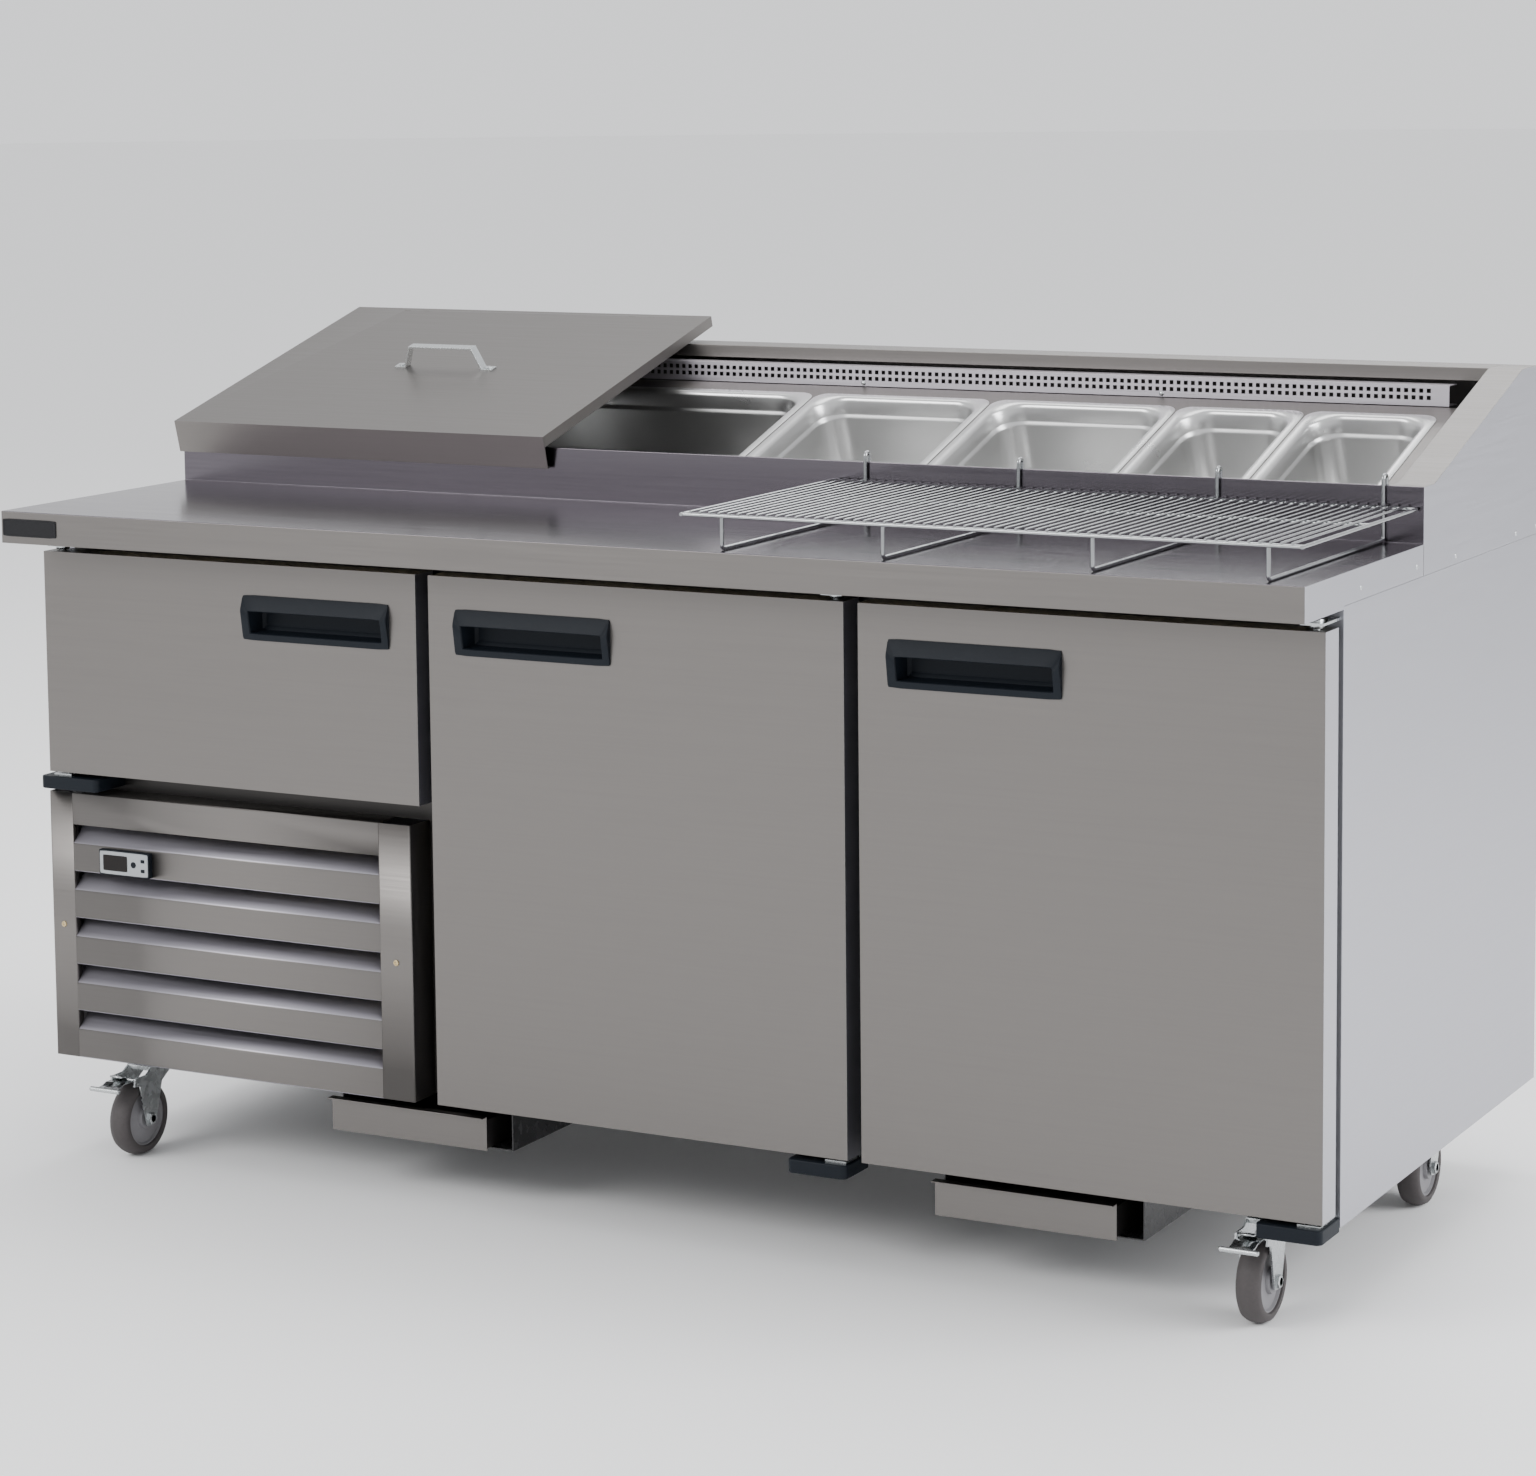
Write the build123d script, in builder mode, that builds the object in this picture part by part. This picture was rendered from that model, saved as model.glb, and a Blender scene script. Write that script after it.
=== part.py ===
from build123d import *
import os
from math import atan2, cos, radians, sin

# Sandwich prep table: a refrigerated three-bay counter on castors, with a sloped well
# for food pans behind the worktop. Millimetres, +Z up, the doors face -Y, and the
# origin is on the floor below the middle of the cabinet.

os.makedirs("parts", exist_ok=True)

# ---------------------------------------------------------------- driving dimensions
WIDTH = 1794.0
DEPTH = 864.0
SHEET = 1.5
HALF_W = WIDTH / 2
Y_REAR = DEPTH / 2
Y_APRON = -DEPTH / 2

Z_SKIRT = 124.0
Z_BASE = 139.0
Z_SIDE_TOP = 840.0
Z_APRON = 836.0
Z_TOP = 878.0
Z_RISER = 946.0
Z_HOOD = 1056.0
Z_LEAN = 974.0

Y_RISER = -31.0
Y_SLOPE_FOOT = 8.0
Y_SLOPE_TOP = 351.0
Y_HOOD_REAR = 417.0
CHEEK = 45.0
X_WELL = HALF_W - CHEEK

Y_DOOR = -363.0
DOOR_T = 42.0
GASKET_T = 15.0
Y_FRAME = Y_DOOR + DOOR_T + GASKET_T
FRAME_T = 22.0
Z_DOOR0 = 142.0
Z_DOOR1 = 818.0
Z_HALF0 = 524.0
DOOR_W = 580.7
DOOR_GAP = 19.0
X_DOORS = -884.0
HINGE_IN = 18.0

PAN_DEPTH = 325.0
PAN_DROP = 36.0
PAN_RIM = 1.2
Y_PAN_FRONT = -19.4
PAN_JOINS = [-777.0, -601.0, -71.0, 194.0, 459.0, 635.0, 811.0]

LID_RIGHT = -302.0
LID_FRONT = (-52.0, 962.0)
LID_REAR = (412.0, 1091.0)
LID_AXIS = (405.0, 1064.0)

CASTOR_FRONT_X = 800.0
CASTOR_REAR_X = 812.0
CASTOR_FRONT_Y = -270.0
CASTOR_REAR_Y = 255.0
CASTOR_TRAIL = 32.0
WHEEL_R = 50.0
WHEEL_W = 32.0

RUN_FIT = 0.06

slope = atan2(Z_HOOD - Z_RISER, Y_SLOPE_TOP - Y_SLOPE_FOOT)
lid_tilt = atan2(LID_REAR[1] - LID_FRONT[1], LID_REAR[0] - LID_FRONT[0])
lid_length = (LID_REAR[0] - LID_FRONT[0]) / cos(lid_tilt)
z_pan_front = Z_RISER - PAN_DROP + (Y_PAN_FRONT - Y_SLOPE_FOOT) * sin(slope) / cos(slope)

pan_plane = Plane(
    origin=(0, Y_PAN_FRONT, z_pan_front), x_dir=(1, 0, 0), z_dir=(0, -sin(slope), cos(slope))
)
lid_plane = Plane(
    origin=(0, LID_FRONT[0], LID_FRONT[1]),
    x_dir=(1, 0, 0),
    z_dir=(0, -sin(lid_tilt), cos(lid_tilt)),
)


def slab(x, y, z, mode=Mode.ADD):
    """A box between two limits on each axis, added to the part being built."""
    with Locations(((x[0] + x[1]) / 2, (y[0] + y[1]) / 2, (z[0] + z[1]) / 2)):
        Box(abs(x[1] - x[0]), abs(y[1] - y[0]), abs(z[1] - z[0]), mode=mode)


def tilted_slab(plane, x, y, z, mode=Mode.ADD):
    """The same between limits measured on a tilted plane."""
    with BuildSketch(plane.offset(z[0])) as base:
        with Locations(((x[0] + x[1]) / 2, (y[0] + y[1]) / 2)):
            Rectangle(x[1] - x[0], y[1] - y[0])
    extrude(base.sketch, amount=z[1] - z[0], mode=mode)


def folded(points, thickness):
    """Closed outline of a folded sheet: its points, then its other face, mitred, to the left."""
    count = len(points)
    dirs = []
    for a, b in zip(points, points[1:]):
        run = ((b[0] - a[0]) ** 2 + (b[1] - a[1]) ** 2) ** 0.5
        dirs.append(((b[0] - a[0]) / run, (b[1] - a[1]) / run))
    inner = []
    for i, point in enumerate(points):
        before = dirs[max(i - 1, 0)]
        after = dirs[min(i, count - 2)]
        across = (-before[1] - after[1], before[0] + after[0])
        reach = thickness / (1 + before[0] * after[0] + before[1] * after[1])
        inner.append((point[0] + across[0] * reach, point[1] + across[1] * reach))
    return list(points) + inner[::-1]


def profile(plane, points, length):
    """Extrudes a closed outline of straight runs from a plane."""
    with BuildSketch(plane) as outline:
        with BuildLine():
            Polyline(*points, close=True)
        make_face()
    extrude(outline.sketch, amount=length)


def rod(start, end, radius):
    """A straight round rod between two points."""
    line = Vector(*end) - Vector(*start)
    with BuildSketch(Plane(origin=start, z_dir=line)) as section:
        Circle(radius)
    extrude(section.sketch, amount=line.length)


def save(builder, name):
    """Labels a finished piece and writes its file."""
    builder.part.label = name
    export_step(builder.part, f"parts/{name}.step")


# ---------------------------------------------------------------- side panels
# Folded sheet: flat side, narrow returns at the front and along the skirt.
def side_panel(side, name):
    out = side * HALF_W
    skin = side * (HALF_W - SHEET)
    turn = side * (HALF_W - 20)
    with BuildPart() as panel:
        slab((skin, out), (Y_FRAME, Y_REAR - SHEET), (Z_SKIRT, Z_SIDE_TOP))
        slab((turn, out), (Y_FRAME, Y_FRAME + SHEET), (Z_SKIRT, Z_SIDE_TOP))
        slab((turn, out), (Y_FRAME, Y_REAR - SHEET), (Z_SKIRT, Z_SKIRT + SHEET))
    save(panel, name)


side_panel(-1, "side_panel_left")
side_panel(1, "side_panel_right")

# ---------------------------------------------------------------- back and base
VENT_Z = (184.0, 454.0)
with BuildPart() as back_panel:
    slab((-HALF_W, HALF_W), (Y_REAR - SHEET, Y_REAR), (Z_SKIRT, Z_SIDE_TOP))
    with BuildSketch(Plane.XZ.offset(-Y_REAR)):
        with Locations((-600, sum(VENT_Z) / 2)):
            with GridLocations(60, 22, 7, 10):
                SlotOverall(46, 8)
    extrude(amount=SHEET, mode=Mode.SUBTRACT)
save(back_panel, "back_panel")

with BuildPart() as base_panel:
    slab(
        (-HALF_W + SHEET, HALF_W - SHEET),
        (Y_FRAME + SHEET, Y_REAR - SHEET),
        (Z_BASE, Z_BASE + SHEET),
    )
save(base_panel, "base_panel")

# ---------------------------------------------------------------- front frame
# Bay openings, left to right: half-height bay, machine bay below it, two full bays.
STILE_IN = HALF_W - 20
MACHINE_TOP = 494.0
BAY_A = ((-844.0, -344.0), (564.0, 776.0))
BAY_B = ((-244.0, 256.0), (182.0, 776.0))
BAY_C = ((356.0, 850.0), (182.0, 776.0))
MACHINE = ((-STILE_IN, -324.0), (Z_BASE + SHEET, MACHINE_TOP))
with BuildPart() as front_frame:
    slab((-STILE_IN, STILE_IN), (Y_FRAME, Y_FRAME + FRAME_T), (Z_BASE + SHEET, Z_APRON))
    for bay_x, bay_z in (BAY_A, BAY_B, BAY_C, MACHINE):
        slab(bay_x, (Y_FRAME - 5, Y_FRAME + FRAME_T + 5), bay_z, mode=Mode.SUBTRACT)
save(front_frame, "front_frame")

# ---------------------------------------------------------------- insulation and liner
# The cold room is one L-shaped space over and beside the machine bay, open to the well above.
LINER_T = 1.2
Y_FOAM0 = Y_FRAME + FRAME_T
Y_COLD_REAR = 387.0
COLD_X = (-852.0, 852.0)
COLD_LEFT_LOW = -262.0
COLD_TOP = 814.0
WELL_RIM = 894.0
Y_WELL_FRONT = Y_RISER + 2.0
ROOM = [
    (COLD_X, (Y_FOAM0, Y_COLD_REAR), (535.0, COLD_TOP)),
    ((COLD_LEFT_LOW, COLD_X[1]), (Y_FOAM0, Y_COLD_REAR), (164.0, 544.0)),
    (COLD_X, (Y_WELL_FRONT, Y_COLD_REAR), (714.0, WELL_RIM)),
]


def shrink(limits, by):
    return (limits[0] + by, limits[1] - by)


with BuildPart() as insulation:
    slab(
        (-HALF_W + SHEET, HALF_W - SHEET),
        (Y_FOAM0, Y_REAR - SHEET),
        (Z_BASE + SHEET, Z_SIDE_TOP),
    )
    slab(COLD_X, (Y_FOAM0, Y_WELL_FRONT), (Z_SIDE_TOP - 1, Z_TOP - SHEET))
    slab(COLD_X, (Y_COLD_REAR, Y_REAR - SHEET), (Z_SIDE_TOP - 1, WELL_RIM))
    for room_x, room_y, room_z in ROOM:
        slab(room_x, room_y, room_z, mode=Mode.SUBTRACT)
    slab(
        (-HALF_W, -303.0),
        (Y_FOAM0 - 5, Y_REAR),
        (Z_BASE, MACHINE_TOP),
        mode=Mode.SUBTRACT,
    )
save(insulation, "insulation")

with BuildPart() as inner_liner:
    for room_x, room_y, room_z in ROOM:
        slab(room_x, room_y, room_z)
    for room_x, room_y, room_z in ROOM:
        front = room_y[0] + LINER_T if room_y[0] == Y_WELL_FRONT else room_y[0] - 5
        top = room_z[1] + 5 if room_z[1] == WELL_RIM else room_z[1] - LINER_T
        slab(
            shrink(room_x, LINER_T),
            (front, room_y[1] - LINER_T),
            (room_z[0] + LINER_T, top),
            mode=Mode.SUBTRACT,
        )
save(inner_liner, "inner_liner")

# ---------------------------------------------------------------- worktop
# One pressing: apron with a hem, flat top, and the riser up to the pan well.
RISER_HEM = 4.0
with BuildPart() as worktop:
    slab((-HALF_W, HALF_W), (Y_APRON, Y_RISER), (Z_TOP - SHEET, Z_TOP))
    slab((-HALF_W, HALF_W), (Y_APRON, Y_APRON + SHEET), (Z_APRON, Z_TOP))
    slab((-HALF_W, HALF_W), (Y_APRON, Y_APRON + 28), (Z_APRON, Z_APRON + SHEET))
    for side in (-1, 1):
        ends = (side * (HALF_W - SHEET), side * HALF_W)
        slab(ends, (Y_APRON, Y_FRAME), (Z_APRON, Z_TOP))
        slab(ends, (Y_FRAME, Y_RISER), (Z_SIDE_TOP, Z_TOP))
    slab((-HALF_W, HALF_W), (Y_RISER, Y_RISER + SHEET), (Z_TOP - SHEET, Z_RISER))
    slab((-X_WELL, X_WELL), (Y_RISER, Y_RISER + RISER_HEM), (Z_RISER - 10, Z_RISER))
    nose = worktop.edges().filter_by(Axis.X).filter_by_position(Axis.Z, Z_TOP, Z_TOP)
    fillet(nose.sort_by(Axis.Y)[0], radius=1.2)
save(worktop, "worktop")

# ---------------------------------------------------------------- hood
# Hollow cheeks either side of the well, and one folded sheet that closes it behind.
cheek_outline = [
    (Y_RISER + SHEET, Z_SIDE_TOP),
    (Y_RISER + SHEET, Z_RISER),
    (Y_SLOPE_FOOT, Z_RISER),
    (Y_SLOPE_TOP, Z_HOOD),
    (Y_HOOD_REAR, Z_HOOD),
    (Y_REAR, Z_LEAN),
    (Y_REAR, Z_SIDE_TOP),
]
with BuildPart() as hood_sides:
    for start in (-HALF_W, X_WELL):
        profile(Plane.YZ.offset(start), cheek_outline, CHEEK)
    bottoms = hood_sides.faces().sort_by(Axis.Z)[:2]
    offset(amount=-SHEET, openings=bottoms)
save(hood_sides, "hood_sides")

rear_path = [
    (Y_REAR, Z_SIDE_TOP),
    (Y_REAR, Z_LEAN),
    (Y_HOOD_REAR, Z_HOOD),
    (Y_SLOPE_TOP, Z_HOOD),
    (Y_SLOPE_TOP, Z_HOOD - 17),
    (Y_SLOPE_TOP + 12, Z_HOOD - 17),
]
with BuildPart() as rear_top_bar:
    profile(Plane.YZ.offset(-X_WELL), folded(rear_path, SHEET), 2 * X_WELL)
save(rear_top_bar, "rear_top_bar")

# ---------------------------------------------------------------- pan frame and bars
LEDGE = 9.0
frame_z = (-PAN_RIM - SHEET, -PAN_RIM)
rear_ledge = (Y_SLOPE_TOP - 36 - Y_PAN_FRONT) / cos(slope)
with BuildPart() as pan_frame:
    tilted_slab(pan_plane, (-X_WELL, X_WELL), (-8, rear_ledge), frame_z)
    tilted_slab(
        pan_plane,
        (PAN_JOINS[0] + LEDGE, PAN_JOINS[-1] - LEDGE),
        (LEDGE, PAN_DEPTH - LEDGE),
        (-10, 5),
        mode=Mode.SUBTRACT,
    )
save(pan_frame, "pan_frame")

with BuildPart() as divider_bars:
    for join in PAN_JOINS[1:-1]:
        tilted_slab(pan_plane, (join - 7, join + 7), (LEDGE, PAN_DEPTH - LEDGE), frame_z)
        tilted_slab(
            pan_plane, (join - 1, join + 1), (LEDGE, PAN_DEPTH - LEDGE), (-16, frame_z[0] + 0.2)
        )
save(divider_bars, "divider_bars")

# ---------------------------------------------------------------- air duct
DUCT_Y = 318.0
DUCT_Z = (1008.5, 1035.0)
DUCT_END = 812.0
with BuildPart() as air_duct:
    slab((-DUCT_END, DUCT_END), (DUCT_Y, DUCT_Y + LINER_T), DUCT_Z)
    for level in (DUCT_Z[0], DUCT_Z[1] - LINER_T):
        slab((-DUCT_END, DUCT_END), (DUCT_Y, Y_SLOPE_TOP - 3), (level, level + LINER_T))
    with Locations(Plane.XZ.offset(-DUCT_Y)):
        with Locations((0, sum(DUCT_Z) / 2 + 1.5)):
            with GridLocations(10, 9, 158, 2):
                Box(5.5, 5.5, 5 * LINER_T, mode=Mode.SUBTRACT)
save(air_duct, "air_duct")

# ---------------------------------------------------------------- lid
LIP = 45.0
FLANGE = 15.0
LID_CENTRE = (-HALF_W + LID_RIGHT) / 2
HINGE_X = [LID_CENTRE - 190, LID_CENTRE + 190]
PIN_R = 3.0
with BuildPart() as lid_panel:
    tilted_slab(lid_plane, (-HALF_W, LID_RIGHT), (0, lid_length), (-SHEET, 0))
    tilted_slab(lid_plane, (-HALF_W, LID_RIGHT), (0, SHEET), (-LIP, 0))
    tilted_slab(lid_plane, (-HALF_W, LID_RIGHT), (0, 6), (-LIP, -LIP + SHEET))
    tilted_slab(lid_plane, (-HALF_W, LID_RIGHT), (lid_length - SHEET, lid_length), (-FLANGE, 0))
    for edge in (-HALF_W, LID_RIGHT - SHEET):
        tilted_slab(lid_plane, (edge, edge + SHEET), (0, lid_length), (-FLANGE, 0))
    for hinge_x in HINGE_X:
        for ear in (hinge_x - 16, hinge_x + 16):
            slab(
                (ear - 5, ear + 5),
                (LID_AXIS[0] - 3, LID_AXIS[0] + 3),
                (LID_AXIS[1], LID_AXIS[1] + 24.5),
            )
            with BuildSketch(Plane.YZ.offset(ear - 5)):
                with Locations(LID_AXIS):
                    Circle(6)
            extrude(amount=10)
            with BuildSketch(Plane.YZ.offset(ear - 6)):
                with Locations(LID_AXIS):
                    Circle(PIN_R + RUN_FIT)
            extrude(amount=12, mode=Mode.SUBTRACT)
save(lid_panel, "lid_panel")

with BuildPart() as lid_hinges:
    for hinge_x in HINGE_X:
        slab((hinge_x - 30, hinge_x + 30), (368, 396), (Z_HOOD, Z_HOOD + 2))
        slab((hinge_x - 8, hinge_x + 8), (368, 404), (Z_HOOD, Z_HOOD + 2))
        slab(
            (hinge_x - 8, hinge_x + 8),
            (LID_AXIS[0] - 4, LID_AXIS[0] + 4),
            (Z_HOOD, LID_AXIS[1]),
        )
        with BuildSketch(Plane.YZ.offset(hinge_x - 8)):
            with Locations(LID_AXIS):
                Circle(5.5)
        extrude(amount=16)
        with BuildSketch(Plane.YZ.offset(hinge_x - 24)):
            with Locations(LID_AXIS):
                Circle(PIN_R)
        extrude(amount=48)
save(lid_hinges, "lid_hinges")

STRAP_T = 2.5
strap_path = [(-80, 0), (-62, 0), (-50, 30), (50, 30), (62, 0), (80, 0)]
strap_plane = Plane(
    origin=lid_plane.from_local_coords((LID_CENTRE, lid_length / 2 + 7, 0)),
    x_dir=(1, 0, 0),
    z_dir=(0, -cos(lid_tilt), -sin(lid_tilt)),
)
with BuildPart() as lid_handle:
    profile(strap_plane, folded(strap_path, STRAP_T), 14)
    for foot in (-71, 71):
        with BuildSketch(lid_plane.offset(STRAP_T)):
            with Locations((LID_CENTRE + foot, lid_length / 2)):
                Circle(4.0)
        extrude(amount=1.6)
save(lid_handle, "lid_handle")

# ---------------------------------------------------------------- food pans
# Pressed pans with a flat rim and a tapered bowl, 100 deep, hung in the sloped frame.
BOWL_IN = 12.0
BOWL_DEEP = 100.0
WALL = 1.0
pan_up = Axis(pan_plane.origin, pan_plane.z_dir)


def bowl(middle, mouth, corner, deep, floor_r):
    """A tapered bowl as a full solid, hung below the rim plane."""
    with BuildPart() as solid:
        with BuildSketch(pan_plane.offset(-PAN_RIM)):
            with Locations(middle):
                RectangleRounded(*mouth, corner)
        extrude(amount=-deep, taper=4)
        fillet(solid.faces().sort_by(pan_up)[0].edges(), radius=floor_r)
    return solid.part


def food_pan(left, right, name):
    """A pan between two joins: bowl, hollow and rim."""
    middle = ((left + right) / 2, PAN_DEPTH / 2)
    wide = right - left - 2
    deep = PAN_DEPTH - 2
    mouth = (wide - 2 * BOWL_IN, deep - 2 * BOWL_IN)
    inside = (mouth[0] - 2 * WALL, mouth[1] - 2 * WALL)
    corner = 38.0
    with BuildPart() as pan:
        add(bowl(middle, mouth, corner, BOWL_DEEP, 16))
        with BuildSketch(pan_plane.offset(-PAN_RIM)):
            with Locations(middle):
                RectangleRounded(wide, deep, 20)
        extrude(amount=PAN_RIM)
        add(bowl(middle, inside, corner - WALL, BOWL_DEEP - WALL, 15), mode=Mode.SUBTRACT)
        with BuildSketch(pan_plane.offset(-PAN_RIM)):
            with Locations(middle):
                RectangleRounded(*inside, corner - WALL)
        extrude(amount=PAN_RIM + 1, mode=Mode.SUBTRACT)
    save(pan, name)


PAN_NAMES = ["third_pan_left", "full_pan", "half_pan_left", "half_pan_right"]
PAN_NAMES += ["third_pan_middle", "third_pan_right"]
for pan_name, pan_left, pan_right in zip(PAN_NAMES, PAN_JOINS, PAN_JOINS[1:]):
    food_pan(pan_left, pan_right, pan_name)

# ---------------------------------------------------------------- wire rack
# A welded deck of thin wires on rods, with four bent legs that hook over the riser.
RACK_X = (110.0, 890.0)
RACK_Y = (-418.0, -38.0)
RACK_Z = 922.0
ROD_R = 2.5
WIRE_R = 1.5
WIRES = 60
RACK_LEGS = [163.0, 375.0, 638.0, 848.0]
LEG_R = 2.5
HOOK_Y = Y_RISER + RISER_HEM + LEG_R + 0.8
rod_z = RACK_Z - ROD_R
leg_foot = Z_TOP + LEG_R + 0.2


with BuildPart() as wire_rack:
    for rod_y in (RACK_Y[0], -205.0, RACK_Y[1]):
        rod((RACK_X[0], rod_y, rod_z), (RACK_X[1], rod_y, rod_z), ROD_R)
    for rod_x in (RACK_X[0] + 1, RACK_X[1] - 1):
        rod((rod_x, RACK_Y[0] - 3, rod_z), (rod_x, RACK_Y[1] + 3, rod_z), ROD_R - 0.3)
    pitch = (RACK_X[1] - RACK_X[0]) / (WIRES + 1)
    wire_middle = (sum(RACK_X) / 2, sum(RACK_Y) / 2, RACK_Z + WIRE_R - 0.6)
    with Locations(Plane(origin=wire_middle, x_dir=(1, 0, 0), z_dir=(0, 1, 0))):
        with GridLocations(pitch, 1, WIRES, 1):
            Cylinder(WIRE_R, RACK_Y[1] - RACK_Y[0] + 2)
    for leg_x in RACK_LEGS:
        with BuildPart(mode=Mode.PRIVATE) as leg:
            with BuildLine(Plane.YZ.offset(leg_x)):
                FilletPolyline(
                    (RACK_Y[0] + 3, rod_z),
                    (RACK_Y[0] + 3, leg_foot),
                    (Y_RISER - LEG_R - 1.5, leg_foot),
                    (Y_RISER - LEG_R - 1.5, Z_RISER + 12),
                    (HOOK_Y, Z_RISER + 12),
                    (HOOK_Y, Z_RISER - 4),
                    radius=4.5,
                )
            with BuildSketch(Plane(origin=(leg_x, RACK_Y[0] + 3, rod_z), z_dir=(0, 0, -1))):
                Circle(LEG_R)
            sweep()
        add(leg.part)
save(wire_rack, "wire_rack")

# ---------------------------------------------------------------- doors
SKIN = 1.0
GASKET_IN = 20.0
GASKET_W = 18.0
PULL_W = 222.0
PULL_H = 58.0
PULL_IN = 40.0
PULL_LIP = 8.0
PULL_DEEP = 27.0
PULL_WALL = 2.0
PULL_PROUD = 3.0
PIN_DEEP = 14.0
DOOR_PIN_R = 5.0


def door(name, x0, z0, hinge_side):
    """A door: folded skin, foamed inner, gasket and recessed pull, hinged left (-1) or right (1)."""
    x1 = x0 + DOOR_W
    y_back = Y_DOOR + DOOR_T
    hinge_x = x1 - HINGE_IN if hinge_side > 0 else x0 + HINGE_IN
    pull_x = x0 + PULL_IN if hinge_side > 0 else x1 - PULL_IN - PULL_W
    pull = (pull_x, pull_x + PULL_W)
    pull_z = (Z_DOOR1 - PULL_IN - PULL_H, Z_DOOR1 - PULL_IN)
    hole = (shrink(pull, PULL_LIP), shrink(pull_z, PULL_LIP))
    bore = Plane.XY.offset(z0)
    hinge_y = Y_DOOR + HINGE_IN

    with BuildPart() as panel:
        slab((x0, x1), (Y_DOOR, y_back), (z0, Z_DOOR1))
        slab(
            shrink((x0, x1), SKIN),
            (Y_DOOR + SKIN, y_back + 5),
            shrink((z0, Z_DOOR1), SKIN),
            mode=Mode.SUBTRACT,
        )
        slab(hole[0], (Y_DOOR - 5, Y_DOOR + 5), hole[1], mode=Mode.SUBTRACT)
        with BuildSketch(bore):
            with Locations((hinge_x, hinge_y)):
                Circle(DOOR_PIN_R + RUN_FIT)
        extrude(amount=Z_DOOR1 - z0, mode=Mode.SUBTRACT)
    save(panel, f"{name}_panel")

    with BuildPart() as inner:
        slab(shrink((x0, x1), SKIN), (Y_DOOR + SKIN, y_back), shrink((z0, Z_DOOR1), SKIN))
        slab(hole[0], (Y_DOOR - 5, Y_DOOR + PULL_DEEP), hole[1], mode=Mode.SUBTRACT)
        inset = GASKET_IN + GASKET_W + 30
        slab(
            shrink((x0, x1), inset),
            (y_back - 6, y_back + 5),
            shrink((z0, Z_DOOR1), inset),
            mode=Mode.SUBTRACT,
        )
        for start, way in ((z0, 1), (Z_DOOR1, -1)):
            with BuildSketch(Plane.XY.offset(start)):
                with Locations((hinge_x, hinge_y)):
                    Circle(DOOR_PIN_R + RUN_FIT)
            extrude(amount=way * (PIN_DEEP + 2), mode=Mode.SUBTRACT)
    save(inner, f"{name}_inner")

    with BuildPart() as gasket:
        outer = (shrink((x0, x1), GASKET_IN), shrink((z0, Z_DOOR1), GASKET_IN))
        slab(outer[0], (y_back, y_back + GASKET_T), outer[1])
        slab(
            shrink(outer[0], GASKET_W),
            (y_back - 5, y_back + GASKET_T + 5),
            shrink(outer[1], GASKET_W),
            mode=Mode.SUBTRACT,
        )
    save(gasket, f"{name}_gasket")

    with BuildPart() as handle:
        slab(pull, (Y_DOOR - PULL_PROUD, Y_DOOR), pull_z)
        slab(hole[0], (Y_DOOR, Y_DOOR + PULL_DEEP), hole[1])
        slab(
            shrink(hole[0], PULL_WALL + 2),
            (Y_DOOR - 10, Y_DOOR + 2),
            (hole[1][0] + PULL_WALL, hole[1][1] - 10),
            mode=Mode.SUBTRACT,
        )
        slab(
            shrink(hole[0], PULL_WALL),
            (Y_DOOR + 2, Y_DOOR + PULL_DEEP - PULL_WALL),
            shrink(hole[1], PULL_WALL),
            mode=Mode.SUBTRACT,
        )
    save(handle, f"{name}_handle")
    return hinge_x


door_pitch = DOOR_W + DOOR_GAP
DOORS = [
    ("half_door", X_DOORS, Z_HALF0, -1),
    ("middle_door", X_DOORS + door_pitch, Z_DOOR0, 1),
    ("right_door", X_DOORS + 2 * door_pitch, Z_DOOR0, 1),
]
hinge_lines = [door(*details) for details in DOORS]

# ---------------------------------------------------------------- door hinges
# A steel plate with a pin above and below each door, and a moulded cover under the lower one.
PLATE_T = 3.0
with BuildPart() as hinge_pins:
    for hinge_x, (_, _, z0, _) in zip(hinge_lines, DOORS):
        hinge_y = Y_DOOR + HINGE_IN
        plate_x = (hinge_x - 14, hinge_x + 14)
        top = Z_DOOR1 + 6
        slab(plate_x, (hinge_y - 14, Y_FRAME), (top, top + PLATE_T))
        rod((hinge_x, hinge_y, Z_DOOR1 - PIN_DEEP), (hinge_x, hinge_y, top + 2), DOOR_PIN_R)
        low = z0 - 6
        slab(plate_x, (hinge_y - 14, Y_FRAME), (low, low + PLATE_T))
        rod((hinge_x, hinge_y, low + 1), (hinge_x, hinge_y, z0 + PIN_DEEP), DOOR_PIN_R)
save(hinge_pins, "hinge_pins")

BLOCK_H = 17.0
with BuildPart() as hinge_blocks:
    for hinge_x, (_, _, z0, side) in zip(hinge_lines, DOORS):
        block_x = (hinge_x - 62, hinge_x + 18) if side > 0 else (hinge_x - 24, hinge_x + 62)
        if z0 == Z_HALF0:
            block_x = (-HALF_W, block_x[1])
        top = z0 - 6
        with BuildSketch(Plane.XY.offset(top - BLOCK_H)):
            with Locations((sum(block_x) / 2, (Y_DOOR - 5 + Y_FRAME) / 2)):
                Rectangle(block_x[1] - block_x[0], Y_FRAME - Y_DOOR + 5)
        extrude(amount=BLOCK_H)
    corners = hinge_blocks.edges().filter_by(Axis.Z).group_by(Axis.Y)[0]
    fillet(corners, radius=8)
save(hinge_blocks, "hinge_blocks")

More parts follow.
